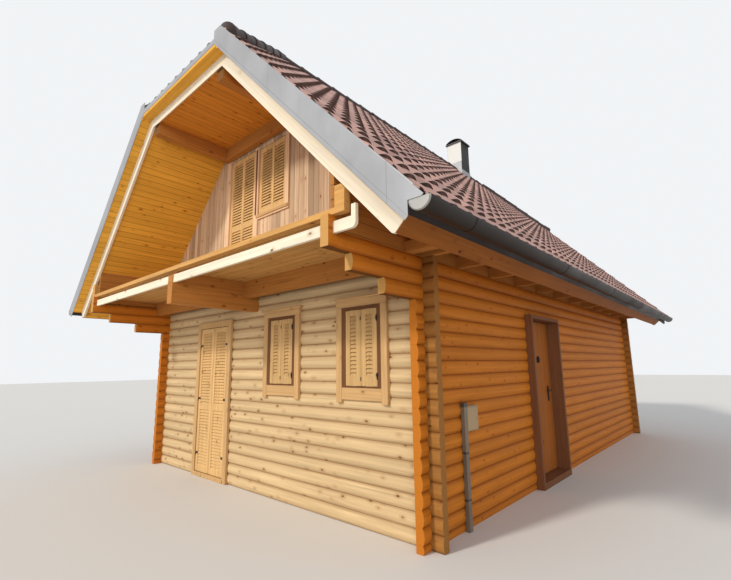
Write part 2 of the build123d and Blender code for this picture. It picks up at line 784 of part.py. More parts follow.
def save_gable_openings():
    """Casings and louvred leaves of the balcony's door and window."""
    y0 = front_y - gable_casing_proud
    width = gable_casing_width
    head = max(door_head, win_head)
    left = box(door_x0 - width, door_x0, y0, front_y, deck_top, head)
    post = box(door_x1, win_x0, y0, front_y, deck_top, head)
    right = box(win_x1, win_x1 + width, y0, front_y, win_sill - width, head)
    rail = box(win_x0, win_x1, y0, front_y, win_sill - width, win_sill)
    save("gable_casings", left, post + [right, rail])
    gap = shutter_gap
    door = louvred_leaf(door_x1 - door_x0 - 2 * gap, door_head - deck_top - 2 * gap, 2)
    save("balcony_door_leaf", Pos(door_x0 + gap, front_y, deck_top + gap) * door)
    window = louvred_leaf(win_x1 - win_x0 - 2 * gap, win_height - 2 * gap, 2)
    save("balcony_window_shutter", Pos(win_x0 + gap, front_y, win_sill + gap) * window)


def save_ceiling():
    """Flat boarded ceilings under the half-hips, with the purlins and the header beside them."""
    corner = (lining_height(0) - ceiling_height) / roof_rise
    boards = []
    purlins = []
    for end, barge_y in ((-1, front_barge_y + barge_thickness), (1, rear_barge_y - barge_thickness)):
        inner = end * (cabin_length / 2 - gable_thickness)
        y0, y1 = sorted((barge_y, inner))
        plate = box(-corner, corner, y0, y1, ceiling_height, ceiling_height + ceiling_thickness)
        boards.append(plate & under_slopes(lining_depth, y0, y1))
        face = end * cabin_length / 2
        y0, y1 = sorted((barge_y, face))
        for side in (-1, 1):
            x0, x1 = sorted((side * corner, side * (corner - purlin_width)))
            purlin = box(x0, x1, y0, y1, ceiling_height - purlin_height, ceiling_height)
            purlins.append(purlin & under_slopes(lining_depth, y0, y1))
    save("balcony_ceiling", *boards)
    save("balcony_purlins", *purlins)
    half = corner - purlin_width
    save("gable_header", box(-half, half, front_y - header_thickness, front_y - gable_casing_proud,
                             ceiling_height - header_height, ceiling_height))


def save_front_door():
    """Frame and two louvred leaves of the front door."""
    y0 = front_y - casing_proud
    y1 = front_y + log_thickness
    x0 = front_door_left + front_door_lining
    x1 = front_door_right - front_door_lining
    z0 = front_door_sill
    z1 = front_door_head - front_door_lining
    lining = box(front_door_left, front_door_right, front_y, y1, 0, front_door_head)
    casing = box(x0 - front_door_casing, x1 + front_door_casing, y0, front_y, 0, z1 + front_door_casing)
    frame = lining + casing - box(x0, x1, y0 - 1, y1 + 1, z0, z1)
    save("front_door_frame", frame)
    width = (x1 - x0 - 3 * door_gap) / 2
    height = z1 - z0 - 2 * door_gap
    leaf = louvred_leaf(width, height, 1)
    y = y0 + shutter_recess
    z0 += door_gap
    left = Pos(x0 + door_gap, y, z0) * leaf
    left, hinges = hang(left, x0 + door_gap, y, z0, z0 + height, -door_gap, 0)
    right = Pos(x1 - door_gap - width, y, z0) * leaf
    right, more = hang(right, x1 - door_gap, y, z0, z0 + height, door_gap, 0)
    save("front_door_leaf_left", left)
    save("front_door_leaf_right", right)
    save("front_door_hinges", *hinges, *more)


def save_side_door():
    """Deep box frame, leaf and handle of the side door."""
    near = front_y + side_door_near
    far_jamb = near + side_door_width
    x0 = inner_x - side_door_inside
    x1 = half_width + side_door_proud
    board = side_door_board
    frame = box(x0, x1, near, far_jamb, 0, side_door_head)
    frame -= box(x0 - 1, x1 + 1, near + board, far_jamb - board, side_door_sill, side_door_head - board)
    save("side_door_frame", frame)
    leaf_y0 = near + board + door_gap
    leaf_y1 = far_jamb - board - door_gap
    leaf_z0 = side_door_sill + door_gap
    leaf_z1 = side_door_head - board - door_gap
    leaf_x1 = x0 + side_leaf_thickness
    leaf = box(x0, leaf_x1, leaf_y0, leaf_y1, leaf_z0, leaf_z1)
    leaf, hinges = hang(leaf, x0, leaf_y0, leaf_z0, leaf_z1, 0, -door_gap)
    save("side_door_leaf", leaf)
    save("side_door_hinges", *hinges)
    plate_width, plate_height, plate_thick = handle_plate
    centre = leaf_y1 - handle_setback
    plate = box(leaf_x1, leaf_x1 + plate_thick, centre - plate_width / 2, centre + plate_width / 2,
                handle_height - plate_height / 2, handle_height + plate_height / 2)
    lever_z = handle_height + plate_height / 5
    neck = Pos(leaf_x1 + lever_stand / 2, centre, lever_z) * Rot(0, 90, 0) * Cylinder(0.7 * lever_radius, lever_stand)
    bar = Pos(leaf_x1 + lever_stand, centre - lever_length / 2, lever_z) * Rot(90, 0, 0)
    grip = bar * Cylinder(lever_radius, lever_length + 2 * lever_radius)
    save("side_door_handle", plate + [neck, grip])


def save_meter():
    """Conduit cover and meter box on the right wall."""
    x0 = half_width
    y0 = front_y + conduit_place - conduit_width / 2
    y1 = y0 + conduit_width
    save("conduit_cover", box(x0, x0 + conduit_depth, y0, y1, 0, conduit_height))
    save("meter_box", box(x0, x0 + meter_depth, y1, y1 + meter_width, meter_bottom, meter_bottom + meter_height))


main()
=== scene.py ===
"""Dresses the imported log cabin: tiles, louvres, boards, metalwork and their finishes."""
import math

import bmesh
import bpy
from mathutils import Matrix, Vector


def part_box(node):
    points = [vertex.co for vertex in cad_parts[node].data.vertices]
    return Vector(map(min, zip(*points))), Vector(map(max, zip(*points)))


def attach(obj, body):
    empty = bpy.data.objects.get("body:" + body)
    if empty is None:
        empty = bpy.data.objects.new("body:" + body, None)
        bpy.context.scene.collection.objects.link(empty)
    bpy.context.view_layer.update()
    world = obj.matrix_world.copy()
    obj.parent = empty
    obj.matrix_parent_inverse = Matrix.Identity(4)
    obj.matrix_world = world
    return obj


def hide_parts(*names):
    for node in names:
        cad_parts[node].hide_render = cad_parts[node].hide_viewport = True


bl_info = {
    "name": "Log Cabin Finishes",
    "version": (1, 0, 0),
    "blender": (4, 2, 0),
    "location": "View3D > Sidebar > Cabin",
    "description": "Adds tiles, louvres, trim and wood, tile and metal finishes to a log cabin",
    "category": "Object",
}

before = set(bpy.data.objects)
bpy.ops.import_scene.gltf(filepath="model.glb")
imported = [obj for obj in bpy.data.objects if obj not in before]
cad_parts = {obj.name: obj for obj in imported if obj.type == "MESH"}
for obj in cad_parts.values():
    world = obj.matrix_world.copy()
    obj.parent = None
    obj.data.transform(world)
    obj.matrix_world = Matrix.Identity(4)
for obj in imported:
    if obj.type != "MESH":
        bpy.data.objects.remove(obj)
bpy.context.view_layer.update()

# Walls and logs, in metres
LOG_END = 0.115
LOG_PITCH = 0.143
BOARD_PITCH = 0.096
PANEL_PITCH = 0.121
DECK_PITCH = 0.12
GABLE_PITCH = 0.098
DOOR_PITCH = 0.164
PITH_X = 2.725
PITH_Y = 4.165
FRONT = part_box("right_wall_front")[0][1] + LOG_END
HALF_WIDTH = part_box("right_wall_rear")[1][0]

# Roof: both slopes fall by RISE for each metre sideways, and the half-hips by HIP_RISE for each metre
# along the cabin. ROLL_SHAPE narrows the valleys between the tiles' rolls.
(_, VERGE_FRONT, _), (EAVE_X, VERGE_REAR, RIDGE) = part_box("roof_tiles_right")
RISE = 1.05
STRETCH = math.hypot(1, RISE)
HIP_RISE = 1.165 / 1.54
HIP_DROP = 1.2653
HIP_SETBACK = HIP_DROP / HIP_RISE
HIP_HALF = HIP_DROP / RISE
HIP_EAVE = RIDGE - HIP_DROP
HIP_MARGIN = 0.05
TILE_STEPS = 12
ROLL_SHAPE = 0.65
TILE_LINE = RIDGE + 0.006
FIRST_COURSE = 0.012
SQUARE_CUT = 3.660
LINING_DEPTH = 0.335

# Metalwork
VERGE_DEPTH = 0.200
VERGE_FOLD = 0.031
VERGE_SHEET = 1.38
FLASHING_END = 0.985
FLASHING_TOP = 5.387
GUTTER_X = 3.700
GUTTER_RIM = 2.615
APRON = 0.012
IRON = (0.016, 0.014, 0.013)

# Picture that the camera was fitted to, in pixels, and the camera's sensor in millimetres
PHOTO_WIDTH = 731
SENSOR_WIDTH = 36.0

# Windows and doors: PROUD is how far pieces stand out of the wall, SEAT how deep boards sit in it, and
# SLAT_SHARE half the depth of a slat as a share of the slats' pitch
FRONT_WINDOWS = (0.620, 2.005)
LEFT_WINDOWS = (-2.100, 1.600)
WINDOW_INNER, WINDOW_OUTER = 0.282, 0.365
WINDOW_LOW, WINDOW_HIGH = (corner[2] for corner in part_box("window_casings"))
LEAF_LOW, LEAF_HIGH = (corner[2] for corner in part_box("window_shutters"))
FRAME_LOW, FRAME_HIGH = LEAF_LOW - 0.018, LEAF_HIGH + 0.040
LEAF_HALF = 0.225
LEAF_PLAY = 0.003
LEAF_THICK = 0.032
BOLTS = (LEAF_LOW + 0.055, LEAF_HIGH - 0.115)
HINGES = (LEAF_LOW + 0.115, LEAF_HIGH - 0.105)
HOLE_HALF = 0.250
HOLE_LINING = 0.090
PROUD = {"sides": 0.034, "sill": 0.031, "head": 0.036, "cornice": 0.050, "frame": 0.026, "leaf": 0.024}
SEAT = 0.010
SLAT_TILT = math.radians(62)
SLAT_SHARE = 0.61
STRAP_INSET = 0.26
KNOCKER_Y, KNOCKER_Z = -1.220, 1.655
CLAMP_HEIGHTS = (0.28, 0.72)


# Settings a user would change

def colour(name, description, default):
    """Colour property of a settings group."""
    return bpy.props.FloatVectorProperty(name=name, description=description, default=default, size=3,
                                         min=0.0, max=1.0, subtype="COLOR")


def length(name, description, default):
    """Length property of a settings group."""
    return bpy.props.FloatProperty(name=name, description=description, default=default, min=0.0,
                                   unit="LENGTH", subtype="DISTANCE")


def angle(name, description, degrees):
    """Angle property of a settings group."""
    return bpy.props.FloatProperty(name=name, description=description, default=math.radians(degrees),
                                   unit="ROTATION", subtype="ANGLE")


def number(name, description, default, low=0.0):
    """Plain number of a settings group."""
    return bpy.props.FloatProperty(name=name, description=description, default=default, min=low)


class CabinColours(bpy.types.PropertyGroup):
    """Colours of the cabin's finishes."""
    # Painted light: the front and side log colours are lit and shaded copies of one spruce. The front is
    # paler, as that wall looks in sunlight; the side is deeper and more orange, as the other walls look in
    # shade.
    front_logs_sunlit: colour("Front Logs", "Pale spruce logs of the front wall", (0.63, 0.455, 0.25))
    side_logs_shaded: colour("Side Logs", "Deeper varnished logs of the side and rear walls", (0.54, 0.175, 0.017))
    corner_logs: colour("Corner Logs", "Log ends at the corners", (0.34, 0.15, 0.036))
    beams: colour("Beams", "Sawn beams, joists and purlins", (0.47, 0.195, 0.046))
    # Painted shade: the eave boards take a darker, more saturated copy of the beams' colour, as that wood
    # looks in the shade under the gutters.
    eave: colour("Eave Boards", "Deep toned boards under the gutters", (0.30, 0.095, 0.014))
    deck: colour("Balcony Deck", "Boards and edge strip of the balcony", (0.60, 0.32, 0.10))
    # Painted light: the lining and ceiling colours are brightened to stand in for light bounced up under the
    # roof and the balcony.
    lining: colour("Lining", "Boards under the roof", (0.88, 0.44, 0.060))
    ceiling: colour("Ceiling", "Boards of the flat ceiling and the balcony's underside", (0.74, 0.29, 0.038))
    barge: colour("Barge Boards", "Pale boards along the verges", (0.78, 0.70, 0.56))
    rim: colour("Rim Board", "Pale board along the balcony", (0.82, 0.74, 0.58))
    gable: colour("Gable Boards", "Upright boards of the gable", (0.78, 0.53, 0.34))
    casing: colour("Casings", "Casings of windows and front door", (0.56, 0.345, 0.155))
    # Painted shade: the dark recess colour of the windows' inner frames and of the strip between the gable
    # leaves stands for the shade in those recesses.
    recess_shade: colour("Recess", "Dark frames around the leaves", (0.16, 0.068, 0.028))
    shutters: colour("Shutters", "Louvred leaves", (0.60, 0.38, 0.165))
    door: colour("Side Door", "Brown side door", (0.36, 0.115, 0.022))
    reveal: colour("Reveal", "Dark box around the side door", (0.19, 0.078, 0.034))
    tiles: colour("Tiles", "Roof tiles", (0.42, 0.225, 0.185))
    ridge: colour("Ridge Tiles", "Ridge and hip caps", (0.038, 0.021, 0.020))
    metal: colour("Flashing", "Sheet metal on the verges", (0.31, 0.315, 0.335))
    gutter: colour("Gutter", "Half-round gutters and fascias", (0.018, 0.011, 0.008))
    render: colour("Chimney", "Rendered chimney", (0.71, 0.70, 0.675))


class TileSizes(bpy.types.PropertyGroup):
    """Sizes of the roof tiles and the ridge caps."""
    width: length("Tile Width", "One tile along the eave", 0.21)
    exposure: length("Exposure", "Visible length of one course", 0.295)
    lap: length("Lap", "Head of a course under the next one", 0.055)
    wave: length("Wave", "Height of the rolls", 0.036)
    thickness: length("Thickness", "Front edge of a tile", 0.024)
    turn_under: length("Turn Under", "Underside of a tile behind its front edge", 0.095)
    lift: length("Lift", "Crests of the tiles over the tile line", 0.020)
    cap_length: length("Cap Length", "Visible length of one cap", 0.36)
    cap_lap: length("Cap Lap", "Head of a cap under the one above", 0.05)
    cap_taper: length("Cap Taper", "Head of a cap slimmer than its rim", 0.016)
    cap_rim: length("Cap Rim", "Raised rim at the lower end of a cap", 0.03)
    bell: length("Bell", "Wider end of the lowest hip cap", 0.16)
    bell_rise: length("Bell Rise", "Lowest hip cap's end above the foot of the hip", 0.12)
    ridge_radius: length("Ridge Radius", "Radius of a ridge cap", 0.078)
    ridge_sink: length("Ridge Sink", "Ridge caps' axis under the ridge line", 0.030)
    hip_radius: length("Hip Radius", "Radius of a hip cap", 0.088)
    hip_sink: length("Hip Sink", "Hip caps' axis under the hip line", 0.008)


class JoinerySizes(bpy.types.PropertyGroup):
    """Sizes of casings, louvred leaves and boards."""
    slat_pitch: length("Slat Pitch", "Distance between louvre slats", 0.044)
    slat_thickness: length("Slat Thickness", "Thickness of a slat", 0.007)
    stile: length("Stile", "Width of a leaf's stiles", 0.058)
    rail: length("Rail", "Height of a leaf's rails", 0.075)
    window_stile: length("Window Stile", "Width of a window leaf's stiles", 0.068)
    bottom_rail: length("Bottom Rail", "Height of a window leaf's lower rail", 0.100)
    top_rail: length("Top Rail", "Height of a window leaf's upper rail", 0.062)
    foot: length("Foot", "Side boards of the windows below the sill board", 0.032)
    horn: length("Horn", "Cornice past the side boards", 0.032)
    cornice: length("Cornice", "Height of the cornice", 0.022)
    bevel: length("Bevel", "Rounding of sawn edges", 0.004)


class MetalSizes(bpy.types.PropertyGroup):
    """Sizes of gutters and sheet metal."""
    gutter_radius: length("Gutter Radius", "Half-round gutter inside its sleeves", 0.081)
    sheet: length("Sheet", "Thickness of gutters and fascias", 0.003)
    sleeve_width: length("Sleeve Width", "Sleeves over the gutter's joints", 0.050)
    first_joint: length("First Joint", "From the gutter's front end to its first joint", 0.62)
    sleeve_step: length("Sleeve Step", "Distance between the gutter's joints", 2.0)
    bead: length("Bead", "Radius of rolled edges", 0.007)
    fascia: length("Fascia", "Depth of the dark fascia under the tile line", 0.187)


class LightLevels(bpy.types.PropertyGroup):
    """Camera and lamps of the stage."""
    heading: angle("Heading", "Camera turned left of +Y", 41.896)
    pitch: angle("Pitch", "Camera tilted up", 10.078)
    roll: angle("Roll", "Camera turned about its view", -0.694)
    place: bpy.props.FloatVectorProperty(name="Place", description="Camera's place", size=3,
                                         default=(5.101, -7.636, 1.6), subtype="TRANSLATION", unit="LENGTH")
    focal: number("Focal Length", "In pixels of a frame 731 wide", 426.87, 50.0)
    key: number("Key", "Strength of the key light", 2.05)
    fill: number("Fill", "Strength of the low fill light", 1.15)
    sky: number("Sky", "Strength of the surroundings", 0.62)


# Shader building

class Term:
    """Value inside a material that takes plain arithmetic."""

    def __init__(self, finish, socket):
        self.finish = finish
        self.socket = socket

    def __add__(self, other):
        return self.finish.math("ADD", self, other)

    def __sub__(self, other):
        return self.finish.math("SUBTRACT", self, other)

    def __rsub__(self, other):
        return self.finish.math("SUBTRACT", other, self)

    def __mul__(self, other):
        return self.finish.math("MULTIPLY", self, other)

    def __truediv__(self, other):
        return self.finish.math("DIVIDE", self, other)

    def __abs__(self):
        return self.finish.math("ABSOLUTE", self)


class Finish:
    """One material and short ways to add nodes to it."""

    def __init__(self, name, roughness=0.5, metallic=0.0, specular=0.5):
        self.material = bpy.data.materials.new(name)
        self.material.use_nodes = True
        self.tree = self.material.node_tree
        self.shader = self.tree.nodes["Principled BSDF"].inputs
        self.put(self.shader["Roughness"], roughness)
        self.put(self.shader["Metallic"], metallic)
        self.put(self.shader["Specular IOR Level"], specular)
        self.place = self.node("ShaderNodeTexCoord")["Object"]

    def put(self, socket, value):
        """Link a term to a socket or set the socket's plain value."""
        if isinstance(value, Term):
            self.tree.links.new(value.socket, socket)
        elif socket.type == "RGBA":
            socket.default_value = (*value[:3], 1.0)
        else:
            socket.default_value = value

    def node(self, kind, inputs=(), **settings):
        """Add a node with its inputs, by name or in order, and return its outputs by name."""
        node = self.tree.nodes.new(kind)
        for name, value in settings.items():
            setattr(node, name, value)
        named = inputs.items() if isinstance(inputs, dict) else enumerate(inputs)
        for key, value in named:
            self.put(node.inputs[key], value)
        return {socket.name: Term(self, socket) for socket in node.outputs if socket.enabled}

    def math(self, operation, *values):
        """Math node's result."""
        return self.node("ShaderNodeMath", values, operation=operation)["Value"]

    def axes(self, vector=None):
        """X, Y and Z of a vector, the object coordinates by default."""
        return tuple(self.node("ShaderNodeSeparateXYZ", [vector or self.place]).values())

    def vector(self, *values):
        """Vector from three values."""
        return self.node("ShaderNodeCombineXYZ", values)["Vector"]

    def scaled(self, vector, scale):
        """Vector times one number for each axis."""
        return self.node("ShaderNodeVectorMath", (vector, scale), operation="MULTIPLY")["Vector"]

    def shifted(self, vector, offset):
        """Vector plus another."""
        return self.node("ShaderNodeVectorMath", (vector, offset), operation="ADD")["Vector"]

    def noise(self, vector, scale=1.0, detail=4.0, roughness=0.55, distortion=0.0):
        """Noise value."""
        inputs = {"Vector": vector, "Scale": scale, "Detail": detail, "Roughness": roughness}
        return self.node("ShaderNodeTexNoise", inputs | {"Distortion": distortion})["Fac"]

    def random(self, *values):
        """Random value and colour for three whole numbers."""
        found = self.node("ShaderNodeTexWhiteNoise", [self.vector(*values)])
        return found["Value"], found["Color"]

    def span(self, value, low, high, out_low=0.0, out_high=1.0):
        """Value carried from one range to another and kept inside it."""
        return self.node("ShaderNodeMapRange", (value, low, high, out_low, out_high))["Result"]

    def blend(self, factor, first, second):
        """Two colours mixed."""
        return self.node("ShaderNodeMix", {0: factor, 6: first, 7: second}, data_type="RGBA")["Result"]

    def stained(self, value, base, *stains):
        """Colour under stains, each with a mask, the mask's range, its strength and its shade of the base."""
        for mask, low, high, strength, factor in stains:
            value = self.blend(self.span(mask, low, high, 0.0, strength), value, shade(base, factor))
        return value

    def bump(self, height, distance, strength):
        """Bump on the shader from a height from 0 to 1."""
        inputs = {"Strength": strength, "Distance": distance, "Height": height}
        self.put(self.shader["Normal"], self.node("ShaderNodeBump", inputs)["Normal"])

    def paint(self, value):
        """Base colour of the shader."""
        self.put(self.shader["Base Color"], value)
        return self.material


def shade(base, factor):
    """Colour times one number, or times one for each channel."""
    factors = factor if isinstance(factor, tuple) else (factor, factor, factor)
    return tuple(min(1.0, value * each) for value, each in zip(base, factors))


def grain_axes(finish, direction):
    """Coordinates along the grain, across the boards and into the wood."""
    x, y, z = finish.axes()
    straight = {"X": (x, z, y), "Y": (y, z, x), "Z": (z, x, y),
                "UPRIGHT": (z, y, x), "FLAT_Y": (y, x, z), "FLAT_X": (x, y, z)}
    if direction in straight:
        return straight[direction]
    side = abs(x)
    if direction == "ROOF_Y":
        return y, side * STRETCH, z
    run = side * (1 / STRETCH) - z * (RISE / STRETCH)
    return run, side * (RISE / STRETCH) + z * (1 / STRETCH), y


def wood(name, base, direction, pitch=0.0, offset=0.0, seam=0.0, painted_shading=0.0, knots=0.5, contrast=1.0,
         pith=None, ends=None):
    """Varnished softwood with grain, knots, boards or logs of their own tone and dark seams.

    seam is the half width of the dark seams as a share of the pitch. The argument after it sets how strongly
    painted shade deepens towards the joints of round logs, with a painted highlight along their crests.
    pith is the distance of the logs' middles from the cabin's middle, for the rings on their ends, and ends
    is the colour of the ends where it differs.
    """
    finish = Finish(name, roughness=0.6, specular=0.12)
    along, across, depth = grain_axes(finish, direction)
    position = finish.vector(along, across, depth)
    part = 0.0
    if pitch:
        place = (across - offset) / pitch
        part = finish.math("FRACT", place)
        edge = finish.math("MINIMUM", part, 1.0 - part)
        tone, tint = finish.random(finish.math("FLOOR", place), 3.0, 7.0)
        position = finish.shifted(position, finish.scaled(tint, (9.0, 0.0, 0.0)))
    streaks = finish.noise(finish.scaled(position, (1.3, 38.0, 38.0)), detail=7.0, roughness=0.62)
    figure = finish.noise(finish.scaled(position, (0.55, 8.0, 8.0)), detail=3.0, distortion=1.2)
    checks = finish.noise(finish.scaled(position, (0.8, 95.0, 95.0)), detail=2.0, roughness=0.5)
    patches = finish.noise(finish.place, scale=0.9, detail=2.0)
    dark = 1 - 0.30 * contrast
    value = finish.stained(shade(base, dark), base,
                           (streaks, 0.32, 0.68, 1.0, 1 + 0.18 * contrast),
                           (figure, 0.35, 0.70, 0.5, 0.84),
                           (patches, 0.3, 0.7, 0.35, 1.15),
                           (checks, 0.66, 0.74, 0.55 * contrast, 0.45))
    if pitch:
        value = finish.stained(value, base, (tone, 0.0, 1.0, 0.5 * contrast, dark))
    value = knotted(finish, value, base, position, knots)
    height = streaks * 0.3
    # Painted shade deepening towards the joints of round logs, and a painted highlight along their crests
    if painted_shading:
        joint_shade = finish.span(edge, 0.0, 0.20, painted_shading, 0.0)
        value = finish.blend(joint_shade, value, shade(base, (0.42, 0.26, 0.15)))
        value = finish.stained(value, base, (edge, 0.30, 0.50, 0.4 * painted_shading, 1.35))
    if seam:
        gap = finish.span(edge, 0.0, seam, 1.0, 0.0)
        value = finish.stained(value, base, (gap, 0.0, 1.0, 0.85, 0.18))
        height = height - gap
    if pith or ends:
        value = cut_ends(finish, value, ends or base, direction, pith, part)
    finish.bump(height, 0.004, 0.6)
    return finish.paint(value)


def knotted(finish, value, base, position, share):
    """Knots with a dark heart and a stained ring, in a share of the cells along the grain."""
    spread = finish.scaled(position, (6.0, 11.0, 9.0))
    cells = finish.node("ShaderNodeTexVoronoi", {"Vector": spread, "Scale": 1.0})
    chance, _, size = finish.axes(cells["Color"])
    ratio = cells["Distance"] / finish.span(size, 0.0, 1.0, 0.07, 0.17)
    kept = finish.math("LESS_THAN", chance, share)
    ring = finish.span(ratio, 0.9, 2.6, 0.5, 0.0) * kept
    heart = finish.span(ratio, 0.5, 1.0, 1.0, 0.0) * kept
    return finish.stained(value, base, (ring, 0.0, 1.0, 1.0, (0.6, 0.45, 0.35)),
                          (heart, 0.0, 1.0, 1.0, (0.24, 0.13, 0.10)))


def cut_ends(finish, value, base, direction, pith, part):
    """Sawn ends of logs and beams: rough fibre, and rings about each log's middle where pith is given."""
    along, aside = (0, 1) if direction == "X" else (1, 0)
    facing = abs(finish.axes(finish.node("ShaderNodeNewGeometry")["Normal"])[along])
    fibre = finish.noise(finish.place, scale=60.0, detail=4.0)
    face = finish.stained(shade(base, 0.88), base, (fibre, 0.3, 0.7, 1.0, 1.12))
    if pith:
        spot = finish.vector(abs(finish.axes()[aside]) - pith, (part - 0.5) * LOG_PITCH, 0.0)
        wobble = finish.noise(finish.place, scale=9.0, detail=2.0)
        reach = finish.node("ShaderNodeVectorMath", [spot], operation="LENGTH")["Value"] + wobble * 0.02
        face = finish.stained(face, base, (finish.math("SINE", reach * 900.0), -1.0, 1.0, 0.6, 0.7))
    face = finish.stained(face, base, (fibre, 0.5, 0.7, 0.4, 0.6))
    return finish.blend(finish.math("GREATER_THAN", facing, 0.93), value, face)


def tile_finish(name, base, width, step, hip=False):
    """Glazed tiles, each with its own tone, weathered paler and greyer in patches, with painted shade under
    each lap that is deepest in the valleys.

    width is one tile along the eave and step the visible length of a course, measured down the slope.
    """
    finish = Finish(name, roughness=0.55)
    x, y, z = finish.axes()
    if hip:
        half_ridge = (VERGE_REAR - VERGE_FRONT) / 2 - HIP_SETBACK
        out = abs(y - (VERGE_FRONT + VERGE_REAR) / 2) - half_ridge
        across, rise = x + (HIP_HALF + HIP_MARGIN), HIP_RISE
    else:
        out = abs(x)
        across, rise = y - VERGE_FRONT, RISE
    down = (out + (TILE_LINE - z) * rise) / math.hypot(1, rise)
    courses = (down - FIRST_COURSE) / step
    tiles = across / width
    tone, tint = finish.random(finish.math("FLOOR", courses), finish.math("FLOOR", tiles + 0.5), 1.0)
    grit = finish.noise(finish.place, scale=150.0, detail=3.0)
    weather = finish.noise(finish.place, scale=3.1, detail=5.0)
    along = finish.math("FRACT", courses)
    # Painted shade: a near black band just under each tile's front edge, deepest in the valleys, for the
    # shadow that each lap casts
    lap = finish.math("MAXIMUM", finish.span(along, 0.945, 0.96), finish.span(along, 0.02, 0.13, 1.0, 0.0))
    valley = abs(finish.math("FRACT", tiles) - 0.5)
    dirt_and_shade = lap * finish.span(valley, 0.15, 0.5, 1.0, 0.6)
    value = finish.stained(shade(base, 0.62), base,
                           (tone, 0.0, 1.0, 1.0, 1.28),
                           (finish.axes(tint)[1], 0.7, 1.0, 0.35, 0.5),
                           (weather, 0.42, 0.72, 0.5, (1.15, 1.35, 1.45)),
                           (grit, 0.35, 0.7, 0.35, 0.6),
                           (dirt_and_shade, 0.0, 1.0, 1.0, 0.03))
    finish.bump(grit, 0.002, 0.5)
    return finish.paint(value)


def sheet_metal(name, base, roughness=0.42, metallic=0.3, scale=2.2, specular=0.5):
    """Sheet metal or painted metal with faint clouding and dents."""
    finish = Finish(name, metallic=metallic, specular=specular)
    cloud = finish.noise(finish.place, scale=scale, detail=5.0)
    speck = finish.noise(finish.place, scale=60.0, detail=2.0)
    finish.put(finish.shader["Roughness"], finish.span(cloud, 0.3, 0.7, roughness * 0.8, roughness * 1.3))
    finish.bump(cloud, 0.006, 0.4)
    return finish.paint(finish.stained(shade(base, 0.82), base,
                                       (cloud, 0.3, 0.7, 1.0, 1.12), (speck, 0.55, 0.75, 0.3, 0.7)))


def verge_metal(name, base):
    """Bright sheet on the verges: soft dents, a folded lower edge with a painted shadow line along its fold,
    and joints down the slope.
    """
    finish = Finish(name, roughness=0.40, metallic=0.25)
    x, _, z = finish.axes()
    depth = (RIDGE - z - abs(x) * RISE) / STRETCH
    middle = VERGE_DEPTH - VERGE_FOLD
    fold = finish.span(depth, middle - 0.003, middle + 0.003)
    # Painted shadow: a thin dark line along the lower edge's fold
    fold_shadow = finish.span(abs(depth - middle), 0.0, 0.005, 1.0, 0.0)
    joint = finish.span(abs(finish.math("FRACT", abs(x) / VERGE_SHEET) - 0.5), 0.0, 0.004, 1.0, 0.0)
    cloud = finish.noise(finish.place, scale=1.7, detail=3.0)
    streak = finish.noise(finish.scaled(finish.place, (9.0, 9.0, 2.5)), detail=5.0)
    value = finish.stained(shade(base, 0.84), base,
                           (cloud, 0.3, 0.7, 1.0, 1.12),
                           (streak, 0.5, 0.8, 0.3, 0.72),
                           (fold_shadow, 0.0, 1.0, 0.7, 0.35),
                           (joint, 0.0, 1.0, 0.6, 0.4))
    finish.bump(cloud * 0.8 + fold * 0.5, 0.012, 0.5)
    return finish.paint(value)


def plaster(name, base):
    """Rendered masonry."""
    finish = Finish(name, roughness=0.9, specular=0.2)
    dirt_and_shade = finish.noise(finish.scaled(finish.place, (3.0, 3.0, 1.2)), detail=4.0)
    finish.bump(finish.noise(finish.place, scale=75.0, detail=5.0), 0.003, 0.7)
    return finish.paint(finish.stained(base, base, (dirt_and_shade, 0.4, 0.75, 0.4, 0.7)))


# Mesh building

def built(name, shape, material):
    """Object made from a bmesh."""
    mesh = bpy.data.meshes.new(name)
    shape.to_mesh(mesh)
    shape.free()
    mesh.materials.append(material)
    thing = bpy.data.objects.new(name, mesh)
    bpy.context.scene.collection.objects.link(thing)
    return thing


def piece(name, shape, material, body="house", stands_for=()):
    """Turn a bmesh into an object that rides on a body and takes a material slot's finish."""
    thing = built(name, shape, material)
    if stands_for:
        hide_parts(*stands_for)
    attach(thing, body)


def add_block(shape, low, high, bevel=0.0, turn=None):
    """Bevelled box between two corners, turned by a matrix afterwards."""
    made = bmesh.ops.create_cube(shape, size=1.0)["verts"]
    bmesh.ops.scale(shape, vec=Vector(high) - Vector(low), verts=made)
    bmesh.ops.translate(shape, vec=(Vector(high) + Vector(low)) / 2, verts=made)
    if bevel:
        edges = list({edge for vert in made for edge in vert.link_edges})
        result = bmesh.ops.bevel(shape, geom=edges, offset=bevel, offset_type="OFFSET", segments=1,
                                 profile=0.5, affect="EDGES", material=-1)
        rounded = {vert for face in result["faces"] for vert in face.verts}
        made = list(rounded | {vert for vert in made if vert.is_valid})
    if turn is not None:
        bmesh.ops.transform(shape, matrix=turn, verts=made)


def add_rod(shape, start, end, radius, sides=16, end_radius=None):
    """Closed round rod between two points."""
    start, end = Vector(start), Vector(end)
    turn = (end - start).to_track_quat("Z", "Y").to_matrix().to_4x4()
    made = bmesh.ops.create_cone(shape, cap_ends=True, segments=sides, radius1=radius,
                                 radius2=end_radius or radius, depth=(end - start).length)["verts"]
    bmesh.ops.transform(shape, matrix=Matrix.Translation((start + end) / 2) @ turn, verts=made)


